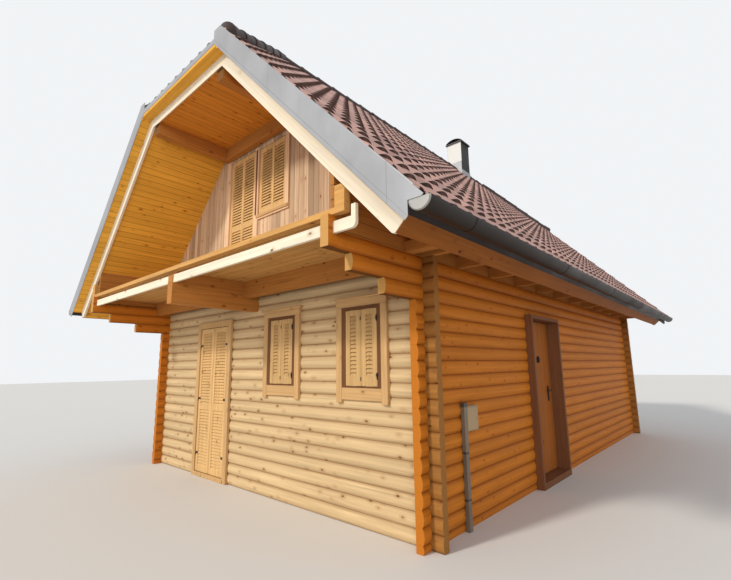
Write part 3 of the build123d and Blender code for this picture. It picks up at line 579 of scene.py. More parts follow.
def add_ring(shape, radius, wire, place):
    """Round ring of round wire in the XZ plane, placed by a matrix."""
    part = bmesh.new()
    made = bmesh.ops.create_circle(part, segments=12, radius=wire)["verts"]
    bmesh.ops.translate(part, vec=(radius, 0, 0), verts=made)
    bmesh.ops.spin(part, geom=part.verts[:] + part.edges[:], cent=(0, 0, 0), axis=(0, 1, 0),
                   angle=2 * math.pi, steps=28, use_merge=True)
    bmesh.ops.remove_doubles(part, verts=part.verts[:], dist=1e-5)
    bmesh.ops.transform(part, matrix=place, verts=part.verts[:])
    absorb(shape, part)


def keep_side(shape, point, normal, close=False):
    """Cut a bmesh by a plane, dropping what lies on the normal's side."""
    geometry = shape.verts[:] + shape.edges[:] + shape.faces[:]
    cut = bmesh.ops.bisect_plane(shape, geom=geometry, plane_co=point, plane_no=normal, clear_outer=True)
    if close:
        edges = [item for item in cut["geom_cut"] if isinstance(item, bmesh.types.BMEdge)]
        bmesh.ops.holes_fill(shape, edges=edges)


def push(shape, grown, shift):
    """Move the points of a fresh extrusion and return them."""
    moved = [item for item in grown["geom"] if isinstance(item, bmesh.types.BMVert)]
    bmesh.ops.translate(shape, vec=shift, verts=moved)
    return moved


def absorb(shape, part):
    """Move a finished bmesh into another one, its faces pointing outwards."""
    bmesh.ops.recalc_face_normals(part, faces=part.faces)
    mesh = bpy.data.meshes.new("part")
    part.to_mesh(mesh)
    part.free()
    shape.from_mesh(mesh)
    bpy.data.meshes.remove(mesh)


def mirrored(shape):
    """Add a copy of a bmesh on the other side of the cabin."""
    bmesh.ops.mirror(shape, geom=shape.verts[:] + shape.edges[:] + shape.faces[:], axis="X", merge_dist=1e-6)
    bmesh.ops.recalc_face_normals(shape, faces=shape.faces)


def both_sides(inner, outer):
    """Spans of a pair of pieces, left and right of the middle."""
    return (-outer, -inner), (inner, outer)


def curved_sheet(shape, rim, middle, turn, steps, reach):
    """Sheet swept from a short edge about an axis along Y, and drawn out along that axis."""
    part = bmesh.new()
    corners = [part.verts.new(corner) for corner in rim]
    edge = part.edges.new(corners)
    bmesh.ops.spin(part, geom=[*corners, edge], cent=middle, axis=(0, 1, 0), angle=turn, steps=steps)
    push(part, bmesh.ops.extrude_face_region(part, geom=part.faces[:]), (0, reach, 0))
    absorb(shape, part)


def half_round(shape, radius, wall, y_low, y_high):
    """Half-round channel along Y on the right gutter's axis."""
    rim = [(GUTTER_X - radius + inset, y_low, GUTTER_RIM) for inset in (0, wall)]
    curved_sheet(shape, rim, (GUTTER_X, y_low, GUTTER_RIM), -math.pi, 20, y_high - y_low)


def slope_frame(origin, across, down):
    """Matrix whose X runs along the eave, Y down the slope and Z out of the roof."""
    across = Vector(across).normalized()
    down = Vector(down).normalized()
    out = across.cross(down)
    if out.z < 0:
        out = -out
    return Matrix.Translation(origin) @ Matrix((across, down, out)).transposed().to_4x4()


def roof_point(x, depth, y):
    """Point of the right slope at a depth under the tile line, square to the slope from x."""
    return Vector((x - depth * RISE / STRETCH, y, RIDGE - RISE * x - depth / STRETCH))


def fitted(whole, share):
    """Length near a share that fills the whole without a rest."""
    return whole / max(1, round(whole / share))


def tile_field(width, run, sizes, tile_width):
    """Courses of wavy tiles on a flat field: X along the eave, Y down the slope, Z up."""
    shape = bmesh.new()
    step = fitted(run, sizes.exposure)
    tiles = math.ceil(width / tile_width - 1e-6)
    for course in range(round(run / step)):
        head = course * step - sizes.lap
        lower = (course + 1) * step
        made = bmesh.ops.create_grid(shape, x_segments=tiles * TILE_STEPS, y_segments=1, size=0.5)["verts"]
        for vert in made:
            across = (vert.co.x + 0.5) * tiles * tile_width
            roll = 0.5 + 0.5 * math.cos(2 * math.pi * across / tile_width)
            level = sizes.lift - sizes.wave * (1.0 - roll ** ROLL_SHAPE)
            if vert.co.y > 0:
                vert.co = (across, lower, level)
            else:
                vert.co = (across, head, level - sizes.thickness - 0.004)
        edges = {edge for vert in made for edge in vert.link_edges}
        front = [edge for edge in edges if all(abs(vert.co.y - lower) < 1e-6 for vert in edge.verts)]
        ends = [edge for edge in edges
                if edge.is_boundary and abs(edge.verts[0].co.x - edge.verts[1].co.x) < 1e-6]
        push(shape, bmesh.ops.extrude_edge_only(shape, edges=ends), (0, 0, -sizes.thickness - 0.012))
        for shift in ((0, -0.004, -sizes.thickness), (0, -sizes.turn_under, -0.001)):
            grown = bmesh.ops.extrude_edge_only(shape, edges=front)
            moved = push(shape, grown, shift)
            front = [item for item in grown["geom"] if isinstance(item, bmesh.types.BMEdge)
                     and all(vert in moved for vert in item.verts)]
    return shape


def cap_row(shape, start, end, radius, sizes, bell=False):
    """Row of overlapping round caps from the upper end to the lower end, which may end in a rounded bell."""
    along = (end - start).normalized()
    step = fitted((end - start).length, sizes.cap_length)
    for cap in range(round((end - start).length / step)):
        upper = start + along * (cap * step - (sizes.cap_lap if cap else 0.0))
        lower = start + along * (cap + 1) * step
        add_rod(shape, upper, lower, radius - sizes.cap_taper, 20, radius - 0.004)
        add_rod(shape, lower - along * sizes.cap_rim, lower + along * 0.002, radius, 20)
    if bell:
        made = bmesh.ops.create_uvsphere(shape, u_segments=20, v_segments=12, radius=radius + 0.012)["verts"]
        turn = along.to_track_quat("Z", "Y").to_matrix().to_4x4()
        squash = Matrix.Diagonal((1, 1, 0.7, 1))
        bmesh.ops.transform(shape, matrix=Matrix.Translation(end) @ turn @ squash, verts=made)
        add_rod(shape, end - along * sizes.bell, end, radius - 0.002, 20, radius + 0.010)


def louvres(shape, width, height, columns, sizes, place, stile, rails):
    """Louvred leaf into a bmesh, face towards -Y: stiles, rails between given heights and sloping slats."""
    field = (width - (columns + 1) * stile) / columns
    for column in range(columns + 1):
        x = column * (field + stile)
        add_block(shape, (x, 0, 0), (x + stile, LEAF_THICK, height), sizes.bevel, place)
    tilt = Matrix.Rotation(SLAT_TILT, 4, "X")
    for column in range(columns):
        x = stile + column * (field + stile)
        for low, high in rails:
            add_block(shape, (x - 0.001, 0.002, low), (x + field + 0.001, LEAF_THICK - 0.002, high), 0, place)
        for (_, low), (high, _) in zip(rails, rails[1:]):
            pitch = fitted(high - low, sizes.slat_pitch)
            half = Vector((field / 2, SLAT_SHARE * pitch, sizes.slat_thickness / 2))
            for slat in range(round((high - low) / pitch)):
                middle = Matrix.Translation((x + field / 2, LEAF_THICK / 2, low + (slat + 0.5) * pitch))
                add_block(shape, -half, half, 0, place @ middle @ tilt)


def door_rails(height, sizes, middle):
    """Heights of a door leaf's rails, the middle one where it has one."""
    rails = [(0, sizes.rail), (height - sizes.rail, height)]
    if middle:
        rails.insert(1, (0.44 * height - sizes.rail / 2, 0.44 * height + sizes.rail / 2))
    return rails


def dress(names, material):
    """Give CAD nodes a finish."""
    for name in names:
        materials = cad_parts[name].data.materials
        materials.clear()
        materials.append(material)


# Operators, one for each group of pieces

class LogFinishes(bpy.types.Operator):
    """Give log walls, beams, boards and masonry their finishes."""
    bl_idname = "cabin.log_finishes"
    bl_label = "Finish Logs and Boards"

    def execute(self, context):
        paint = context.scene.cabin_colours
        self.logs(paint)
        self.boards(paint)
        self.fittings(paint)
        return {"FINISHED"}

    def logs(self, paint):
        """Walls and beams."""
        # Round logs get painted shade at their joints and a painted highlight on their crests
        side = {"pitch": LOG_PITCH, "offset": LOG_PITCH / 2, "seam": 0.015, "painted_shading": 0.62, "knots": 0.8}
        cross = {"pitch": LOG_PITCH, "seam": 0.015, "painted_shading": 0.6, "knots": 0.7, "pith": PITH_Y}
        # The front wall takes the pale, sunlit copy of the log colour. The side and rear walls and the
        # corbels take the deep, shaded copy. Both are painted light and shade.
        dress(["front_wall_left", "front_wall_right", "front_wall_over_door"],
              wood("front_log_sunlit_varnish", paint.front_logs_sunlit, "X", **cross))
        dress(["right_wall_front", "right_wall_rear", "right_wall_over_door", "left_wall"],
              wood("side_log_shaded_varnish", paint.side_logs_shaded, "Y", pith=PITH_X, **side))
        dress(["corbel_logs"],
              wood("corbel_shaded_varnish", paint.side_logs_shaded, "Y", pith=PITH_X, ends=paint.deck, **side))
        dress(["rear_wall"], wood("rear_log_shaded_varnish", paint.side_logs_shaded, "X", **cross))
        dress(["corner_log_ends"], wood("corner_log_varnish", paint.corner_logs, "X", **cross))
        dress(["floor_joists", "balcony_bearer", "gable_header"],
              wood("cross_beam_varnish", paint.beams, "X", knots=0.4))
        dress(["balcony_beam"], wood("long_beam_varnish", paint.beams, "Y", knots=0.4))
        # Painted shade: the purlins' front ends are darkened for the shadow that the verge casts on them
        dress(["balcony_purlins"],
              wood("purlin_varnish_shaded_ends", paint.beams, "Y", knots=0.4, ends=shade(paint.beams, 0.4)))

    def boards(self, paint):
        """Boards of the roof, gables, balcony and floors."""
        boards = {"pitch": BOARD_PITCH, "seam": 0.05, "knots": 0.6}
        # The lining, hip and ceiling boards take colours brightened with painted bounced light; the floors
        # share the ceiling's colour.
        dress(["roof_slab_right", "roof_slab_left"], wood("lining_boards_painted_light", paint.lining, "ROOF_Y", **boards))
        dress(["roof_slab_hips"], wood("hip_boards_painted_light", paint.lining, "X", **boards))
        dress(["balcony_ceiling"], wood("ceiling_boards_painted_light", paint.ceiling, "FLAT_Y", **boards))
        dress(["eave_panels"], wood("panel_boards", paint.beams, "Y", PANEL_PITCH, seam=0.04))
        dress(["balcony_deck"], wood("deck_boards", paint.deck, "FLAT_X", DECK_PITCH, seam=0.04))
        dress(["upper_floor", "ground_floor"],
              wood("floor_boards", paint.ceiling, "FLAT_X", DECK_PITCH, seam=0.04))
        dress(["front_gable_wall", "rear_gable_wall"],
              wood("gable_boards", paint.gable, "Z", GABLE_PITCH, 0.02, seam=0.06, knots=0.45, contrast=1.9))
        dress(["barge_boards"], wood("barge_varnish", paint.barge, "SLOPE", knots=0.3, contrast=0.6))
        dress(["balcony_rim_board"], wood("rim_varnish", paint.rim, "X", knots=0.35, contrast=0.7))
        dress(["gable_casings"], wood("gable_casing_varnish", paint.gable, "Z", knots=0.3))

    def fittings(self, paint):
        """Masonry, side door and small metal parts."""
        dress(["chimney_stack"], plaster("chimney_render", paint.render))
        dress(["conduit_cover"], sheet_metal("conduit_paint", (0.17, 0.135, 0.10), metallic=0.0))
        dress(["meter_box"], sheet_metal("meter_paint", (0.33, 0.22, 0.11), metallic=0.0))
        dress(["side_door_frame"], wood("reveal_stain", paint.reveal, "Z", knots=0.2))
        dress(["side_door_leaf"],
              wood("door_stain", paint.door, "UPRIGHT", DOOR_PITCH, seam=0.03, knots=0.15))
        dress(["front_door_frame"], wood("door_casing_varnish", paint.casing, "Z", knots=0.2))
        dress(["shutter_hinges", "front_door_hinges", "side_door_hinges", "side_door_handle"],
              sheet_metal("black_iron", IRON, roughness=0.45))


class RoofTiles(bpy.types.Operator):
    """Lay courses of wavy tiles on both slopes and half-hips, with round caps on ridge and hips."""
    bl_idname = "cabin.roof_tiles"
    bl_label = "Lay Roof Tiles"

    def execute(self, context):
        sizes = context.scene.cabin_tiles
        paint = context.scene.cabin_colours
        tips = (Vector((0, VERGE_FRONT + HIP_SETBACK, RIDGE)), Vector((0, VERGE_REAR - HIP_SETBACK, RIDGE)))
        self.slopes(tips, sizes, paint)
        self.hips(tips, sizes, paint)
        self.caps(tips, sizes, paint)
        return {"FINISHED"}

    def slopes(self, tips, sizes, paint):
        """Both long slopes, cut along the ridge and the hips."""
        run = EAVE_X * STRETCH
        width = VERGE_REAR - VERGE_FRONT
        tile_width = fitted(width, sizes.width)
        clay = tile_finish("slope_tiles", paint.tiles, tile_width, fitted(run, sizes.exposure))
        for side, name in ((1, "right"), (-1, "left")):
            shape = tile_field(width, run, sizes, tile_width)
            place = slope_frame((0, VERGE_FRONT, RIDGE), (0, 1, 0), (side, 0, -RISE))
            bmesh.ops.transform(shape, matrix=place, verts=shape.verts)
            keep_side(shape, (0, 0, 0), (-side, 0, 0))
            for tip, end in zip(tips, (-1, 1)):
                keep_side(shape, tip, (-side * HIP_SETBACK, end * HIP_HALF, 0))
            bmesh.ops.recalc_face_normals(shape, faces=shape.faces)
            piece(f"tile_courses_{name}", shape, clay, stands_for=[f"roof_tiles_{name}"])

    def hips(self, tips, sizes, paint):
        """Both half-hips, cut along the hips."""
        run = HIP_DROP * math.hypot(1, 1 / HIP_RISE) - FIRST_COURSE
        clay = tile_finish("hip_tiles", paint.tiles, sizes.width, fitted(run, sizes.exposure), hip=True)
        shape = bmesh.new()
        for tip, end in zip(tips, (-1, 1)):
            field = tile_field(2 * HIP_HALF + 4 * HIP_MARGIN, run, sizes, sizes.width)
            place = slope_frame((-HIP_HALF - HIP_MARGIN, tip.y, RIDGE), (1, 0, 0), (0, end, -HIP_RISE))
            bmesh.ops.transform(field, matrix=place, verts=field.verts)
            for side in (-1, 1):
                keep_side(field, tip, (side * HIP_SETBACK, -end * HIP_HALF, 0))
            absorb(shape, field)
        piece("tile_courses_hips", shape, clay, stands_for=["roof_tiles_hips"])

    def caps(self, tips, sizes, paint):
        """Round caps, cut square at the verges."""
        shape = bmesh.new()
        sink = Vector((0, 0, -sizes.ridge_sink))
        cap_row(shape, tips[1] + sink, tips[0] + sink, sizes.ridge_radius, sizes)
        sink = Vector((0, 0, -sizes.hip_sink))
        for tip, verge in zip(tips, (VERGE_FRONT, VERGE_REAR)):
            for side in (-1, 1):
                foot = Vector((side * HIP_HALF, verge, HIP_EAVE))
                end = foot + (tip - foot).normalized() * sizes.bell_rise
                cap_row(shape, tip + sink, end + sink, sizes.hip_radius, sizes, bell=True)
        for verge, out in ((VERGE_FRONT, -1), (VERGE_REAR, 1)):
            keep_side(shape, (0, verge + out * 0.004, 0), (0, out, 0), close=True)
        bmesh.ops.recalc_face_normals(shape, faces=shape.faces)
        clay = sheet_metal("ridge_clay", paint.ridge, roughness=0.6, metallic=0.0)
        piece("ridge_caps", shape, clay, stands_for=["ridge_tiles"])


class EaveMetal(bpy.types.Operator):
    """Shape gutters with sleeves and end caps, fascias, the verges' rolled edges and the chimney's metal."""
    bl_idname = "cabin.eave_metal"
    bl_label = "Shape Eave Metal"

    def execute(self, context):
        sizes = context.scene.cabin_metal
        paint = context.scene.cabin_colours
        dark = sheet_metal("gutter_paint", paint.gutter, roughness=0.5, metallic=0.0, scale=1.2, specular=0.3)
        bright = verge_metal("verge_sheet", paint.metal)
        dress(["verge_flashing"], bright)
        dress(["gutter_brackets"], dark)
        self.gutters(sizes, dark)
        self.fascias(sizes, dark)
        self.eave_boards(sizes, paint)
        self.edges(sizes, bright)
        self.apron(bright)
        self.chimney_sides()
        self.chimney_hood()
        return {"FINISHED"}

    def gutters(self, sizes, dark):
        """Half-round gutters with a rolled bead, sleeves over the joints and closed ends."""
        (_, start, _), (_, stop, _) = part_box("gutters")
        shape, ends = bmesh.new(), bmesh.new()
        radius, sheet, half_sleeve = sizes.gutter_radius, sizes.sheet, sizes.sleeve_width / 2
        half_round(shape, radius, sheet, start, stop)
        bead = GUTTER_X + radius - sizes.bead
        add_rod(shape, (bead, start, GUTTER_RIM), (bead, stop, GUTTER_RIM), sizes.bead, 12)
        joint = start + sizes.first_joint
        while joint < stop - 0.2:
            half_round(shape, radius + sheet, 2 * sheet, joint - half_sleeve, joint + half_sleeve)
            joint += sizes.sleeve_step
        for y in (start, stop - 0.004):
            half_round(ends, radius - 0.002, radius - 0.003, y, y + 0.004)
            half_round(ends, radius + 0.002, 0.004, y, y + 0.012)
        mirrored(shape)
        mirrored(ends)
        piece("gutter_channels", shape, dark, stands_for=["gutters"])
        piece("gutter_end_caps", ends, sheet_metal("end_cap_zinc", (0.32, 0.315, 0.30)))

    def eave_frame(self, margin):
        """Frame of the right eave's square cut, from a margin behind the front verge."""
        return slope_frame(roof_point(SQUARE_CUT, 0, VERGE_FRONT + margin), (0, 1, 0), (1, 0, -RISE))

    def fascias(self, sizes, dark):
        """Dark sheet over the square cut of both eaves, with a turned lower edge."""
        shape = bmesh.new()
        margin, sheet, depth = 0.006, sizes.sheet, sizes.fascia
        place = self.eave_frame(margin)
        reach = VERGE_REAR - VERGE_FRONT - 2 * margin
        add_block(shape, (0, 0, -depth), (reach, sheet, -0.004), 0, place)
        add_block(shape, (0, -0.012, -depth - sheet), (reach, sheet, -depth), 0, place)
        mirrored(shape)
        piece("eave_fascias", shape, dark)

    def eave_boards(self, sizes, paint):
        """Boards over the roof's ends under both fascias, in a darker copy of the beams' colour that paints
        the shade under the gutters.
        """
        shape = bmesh.new()
        front_margin, rear_margin = 0.125, 0.100
        reach = VERGE_REAR - VERGE_FRONT - front_margin - rear_margin
        add_block(shape, (0, -0.001, -LINING_DEPTH), (reach, 0.004, -sizes.fascia), 0,
                  self.eave_frame(front_margin))
        mirrored(shape)
        piece("eave_boards", shape, wood("eave_board_shaded_varnish", paint.eave, "Y", knots=0.3))

    def edges(self, sizes, bright):
        """Rolled upper edge and folded lower edge of the verge flashing."""
        shape = bmesh.new()
        top = (RIDGE - FLASHING_TOP) / RISE + 0.006
        fold = FLASHING_END + VERGE_DEPTH * RISE / STRETCH + 0.004
        foot = HIP_EAVE - 0.07
        inward, outward = 0.0025, 0.001
        verges = ((VERGE_FRONT, -1), (VERGE_REAR, 1))
        for y, out in verges:
            for start, depth, place, radius, sides in (
                    (top, 0, y - out * inward, sizes.bead, 12),
                    (fold, VERGE_DEPTH, y + out * outward, 0.004, 8)):
                ends = [roof_point(x, depth, place) for x in (start, SQUARE_CUT)]
                add_rod(shape, *ends, radius, sides)
        mirrored(shape)
        for y, out in verges:
            ends = [(x, y - out * inward, foot) for x in (-FLASHING_END, FLASHING_END)]
            add_rod(shape, *ends, 0.006, 12)
        piece("flashing_edges", shape, bright)

    def apron(self, bright):
        """Sheet around the foot of the chimney, over the ridge."""
        low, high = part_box("chimney_stack")
        foot = RIDGE - RISE * high[0]
        shape = bmesh.new()
        for left, right in both_sides(high[0], high[0] + APRON):
            add_block(shape, (left, low[1] - APRON, foot - 0.06),
                      (right, high[1] + APRON, foot + 0.13), 0.002)
        for y in (low[1] - APRON, high[1]):
            add_block(shape, (-high[0], y, RIDGE - 0.30), (high[0], y + APRON, RIDGE + 0.16), 0.002)
        piece("chimney_apron", shape, bright)

    def chimney_sides(self):
        """Dark sheets on both long sides of the chimney."""
        low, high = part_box("chimney_stack")
        foot = RIDGE - RISE * high[0] - 0.05
        shape = bmesh.new()
        add_block(shape, (high[0] - 0.001, low[1] + 0.004, foot),
                  (high[0] + 0.005, high[1] - 0.004, high[2]), 0.001)
        mirrored(shape)
        sheet = sheet_metal("sheet_dark", (0.014, 0.014, 0.012), metallic=0.0, specular=0.2)
        piece("chimney_sheets", shape, sheet)

    def chimney_hood(self):
        """Cap plate with an arched sheet over it on four short posts."""
        low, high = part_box("chimney_cap")
        plate, top = low[2] + 0.030, high[2] - 0.003
        front, reach = low[1] + 0.01, high[0] - 0.012
        rise = top - plate - 0.022
        spring = top - rise
        radius = (reach * reach + rise * rise) / (2 * rise)
        rim = ((-reach, front, spring), (-reach + 0.0015, front, spring - 0.004))
        shape = bmesh.new()
        add_block(shape, low, (high[0], high[1], plate), 0.003)
        curved_sheet(shape, rim, (0, front, top - radius), 2 * math.asin(reach / radius), 16,
                     high[1] - low[1] - 0.02)
        for x in (0.012 - reach, reach - 0.012):
            for y in (low[1] + 0.04, high[1] - 0.04):
                add_rod(shape, (x, y, plate - 0.002), (x, y, spring + 0.002), 0.006, 10)
        piece("chimney_hood", shape, sheet_metal("hood_metal", (0.028, 0.027, 0.027)),
              stands_for=["chimney_cap"])


class Windows(bpy.types.Operator):
    """Build the ground floor windows: casings, inner frames dark with painted shade of their recess, and
    louvred leaves with their bolts.
    """
    bl_idname = "cabin.windows"
    bl_label = "Build Windows"

    def execute(self, context):
        sizes = context.scene.cabin_joinery
        paint = context.scene.cabin_colours
        sides, boards, rings, leaves, irons = (bmesh.new() for _ in range(5))
        places = [Matrix.Translation((x, FRONT, 0)) for x in FRONT_WINDOWS]
        places += [Matrix.Translation((-HALF_WIDTH, y, 0)) @ Matrix.Rotation(-math.pi / 2, 4, "Z")
                   for y in LEFT_WINDOWS]
        for place in places:
            self.casing(sides, boards, sizes, place)
            self.inner_frame(rings, place)
            self.leaf(leaves, irons, sizes, place)
        piece("window_side_boards", sides, wood("casing_varnish", paint.casing, "Z", knots=0.25),
              stands_for=["window_casings"])
        piece("window_head_boards", boards, wood("head_varnish", paint.casing, "X", knots=0.25))
        piece("window_inner_frames", rings, wood("inner_frame_painted_shade", paint.recess_shade, "Z", knots=0.1))
        # Painted shade: the window leaves take a darker copy of the shutters' colour, as the shaded ground
        # floor shutters look
        piece("window_leaves", leaves, wood("leaf_shaded_varnish", shade(paint.shutters, 0.9), "Z", knots=0.3),
              stands_for=["window_shutters"])
        piece("window_bolts", irons, sheet_metal("window_iron", IRON, roughness=0.45))
        return {"FINISHED"}

    def casing(self, sides, boards, sizes, place):
        """Side boards, the sill board between them, and a head board under a small cornice."""
        foot = WINDOW_LOW - sizes.foot
        for left, right in both_sides(WINDOW_INNER, WINDOW_OUTER):
            add_block(sides, (left, -PROUD["sides"], foot), (right, SEAT, FRAME_HIGH), sizes.bevel, place)
        for name, reach, low, high in (
                ("sill", WINDOW_INNER, WINDOW_LOW, FRAME_LOW),
                ("head", WINDOW_OUTER, FRAME_HIGH, WINDOW_HIGH - sizes.cornice + 0.002),
                ("cornice", WINDOW_OUTER + sizes.horn, WINDOW_HIGH - sizes.cornice, WINDOW_HIGH)):
            add_block(boards, (-reach, -PROUD[name], low), (reach, SEAT, high), sizes.bevel, place)

    def inner_frame(self, rings, place):
        """Frame between the casing and the leaves, lining the hole in the wall, dark with painted shade of
        the recess.
        """
        inner = LEAF_HALF + LEAF_PLAY
        lining_top = FRAME_HIGH - 0.020
        for left, right in both_sides(inner, WINDOW_INNER):
            add_block(rings, (left, -PROUD["frame"], FRAME_LOW), (right, 0.004, FRAME_HIGH), 0.002, place)
        for left, right in both_sides(inner, HOLE_HALF):
            add_block(rings, (left, 0.004, FRAME_LOW), (right, HOLE_LINING, lining_top), 0, place)
        for low, high, back in (
                (LEAF_HIGH + LEAF_PLAY, lining_top, HOLE_LINING),
                (FRAME_HIGH - 0.022, FRAME_HIGH, 0.004),
                (FRAME_LOW, LEAF_LOW - LEAF_PLAY, HOLE_LINING)):
            add_block(rings, (-inner, -PROUD["frame"], low), (inner, back, high), 0, place)

    def leaf(self, leaves, irons, sizes, place):
        """Two narrow louvred leaves, their bolts and hinge straps."""
        height = LEAF_HIGH - LEAF_LOW
        rails = [(0, sizes.bottom_rail), (height - sizes.top_rail, height)]
        for start in (-LEAF_HALF, LEAF_PLAY / 2):
            corner = Matrix.Translation((start, -PROUD["leaf"], LEAF_LOW))
            louvres(leaves, LEAF_HALF - LEAF_PLAY / 2, height, 1, sizes, place @ corner,
                    sizes.window_stile, rails)
        for z in BOLTS:
            add_block(irons, (-0.006, -0.029, z), (0.006, -0.022, z + 0.040), 0.002, place)
        hinge = LEAF_HALF + LEAF_PLAY
        for z in HINGES:
            ends = [place @ Vector((hinge, -0.030, z + half)) for half in (-0.026, 0.026)]
            add_rod(irons, *ends, 0.007, 12)
            add_block(irons, (hinge - 0.019, -0.027, z - 0.012), (hinge + 0.015, -0.023, z + 0.012), 0, place)


class Doors(bpy.types.Operator):
    """Build the louvred leaves of the front door and the gable, and the doors' small ironwork."""
    bl_idname = "cabin.doors"
    bl_label = "Build Doors"

    def execute(self, context):
        sizes = context.scene.cabin_joinery
        paint = context.scene.cabin_colours
        # Painted light: the door and gable slats take a lighter copy of the shutters' colour, as the sunlit
        # gable leaves look
        slats = wood("louvre_lit_varnish", shade(paint.shutters, 1.12), "Z", knots=0.3)
        iron = sheet_metal("door_iron", IRON, roughness=0.45)
        self.front_leaves(sizes, slats, iron)
        self.gable_leaves(sizes, slats)
        self.gable_trim(paint, sizes)
        self.knocker(iron)
        return {"FINISHED"}

    def front_leaves(self, sizes, slats, iron):
        """Both front door leaves with their hinge straps."""
        for side, inward in (("left", 1), ("right", -1)):
            node = f"front_door_leaf_{side}"
            low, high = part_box(node)
            hinge, free = (low[0], high[0]) if side == "left" else (high[0], low[0])
            start, stop = sorted((free, hinge + inward * 0.007))
            height = high[2] - low[2]
            face = high[1] - LEAF_THICK
            shape = bmesh.new()
            louvres(shape, stop - start, height, 1, sizes, Matrix.Translation((start, face, low[2])),
                    sizes.stile, door_rails(height, sizes, True))
            piece(node + "_slats", shape, slats, body=f"front_door_{side}", stands_for=[node])
            shape = bmesh.new()
            near, far = sorted((hinge + inward * 0.018, hinge + inward * 0.066))
            for z in (low[2] + STRAP_INSET, (low[2] + high[2]) / 2, high[2] - STRAP_INSET):
                add_block(shape, (near, face - 0.004, z - 0.016), (far, face + 0.002, z + 0.016), 0.001)
            piece(node + "_straps", shape, iron, body=f"front_door_{side}")

    def gable_leaves(self, sizes, slats):
        """Balcony door leaf and the window leaf beside it."""
        for node in ("balcony_door_leaf", "balcony_window_shutter"):
            low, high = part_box(node)
            shape = bmesh.new()
            height = high[2] - low[2]
            louvres(shape, high[0] - low[0], height, 2, sizes, Matrix.Translation(low), sizes.stile,
                    door_rails(height, sizes, node == "balcony_door_leaf"))
            piece(node + "_slats", shape, slats, stands_for=[node])

    def gable_trim(self, paint, sizes):
        """Dark strip with painted shade for the gap between the two gable leaves, and the sill board of the
        window.
        """
        low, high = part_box("balcony_window_shutter")
        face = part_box("gable_casings")[0][1]
        middle = (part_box("balcony_door_leaf")[1][0] + low[0]) / 2
        shape = bmesh.new()
        add_block(shape, (middle - 0.020, face - 0.003, low[2]),
                  (middle + 0.020, face + 0.006, high[2]), 0.001)
        piece("gable_post_painted_shade", shape, wood("post_gap_painted_shade", paint.recess_shade, "Z", knots=0.1))
        shape = bmesh.new()
        add_block(shape, (low[0] - 0.03, face - 0.014, low[2] - 0.055),
                  (high[0] + 0.075, face + 0.004, low[2] - 0.012), sizes.bevel)
        piece("gable_window_sill", shape, wood("sill_varnish", paint.casing, "X", knots=0.2))

    def knocker(self, iron):
        """Round knocker on the side door: a ring, the boss that it hangs from and a round plate."""
        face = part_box("side_door_leaf")[1][0]
        middle = Matrix.Translation((face + 0.014, KNOCKER_Y, KNOCKER_Z))
        shape = bmesh.new()
        add_ring(shape, 0.034, 0.007, middle @ Matrix.Rotation(math.pi / 2, 4, "Z"))
        for z, out, radius, sides, outer in ((KNOCKER_Z + 0.037, 0.026, 0.016, 20, 0.016),
                                             (KNOCKER_Z, 0.006, 0.046, 28, 0.042)):
            ends = [(x, KNOCKER_Y, z) for x in (face - 0.002, face + out)]
            add_rod(shape, *ends, radius, sides, outer)
        piece("door_knocker", shape, iron, body="side_door")


class WallFittings(bpy.types.Operator):
    """Add thin clamps and a cap to the conduit cover and a lid to the meter box."""
    bl_idname = "cabin.wall_fittings"
    bl_label = "Add Wall Fittings"

    def execute(self, context):
        low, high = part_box("conduit_cover")
        shape = bmesh.new()
        for z in CLAMP_HEIGHTS:
            add_block(shape, (low[0], low[1] - 0.010, z),
                      (high[0] + 0.002, high[1] + 0.002, z + 0.018), 0.001)
        add_block(shape, (low[0], low[1] - 0.006, high[2] - 0.03),
                  (high[0] + 0.005, high[1] + 0.004, high[2] + 0.012), 0.003)
        piece("conduit_clamps", shape, sheet_metal("clamp_paint", (0.05, 0.045, 0.04), metallic=0.0))
        low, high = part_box("meter_box")
        shape = bmesh.new()
        add_block(shape, (high[0] - 0.002, low[1] + 0.012, low[2] + 0.012),
                  (high[0] + 0.006, high[1] - 0.012, high[2] - 0.012), 0.003)
        lock = Vector((high[0], high[1] - 0.032, low[2] + 0.12))
        add_rod(shape, lock, lock + Vector((0.011, 0, 0)), 0.010)
        piece("meter_lid", shape, sheet_metal("lid_paint", (0.36, 0.25, 0.13), metallic=0.0))
        return {"FINISHED"}


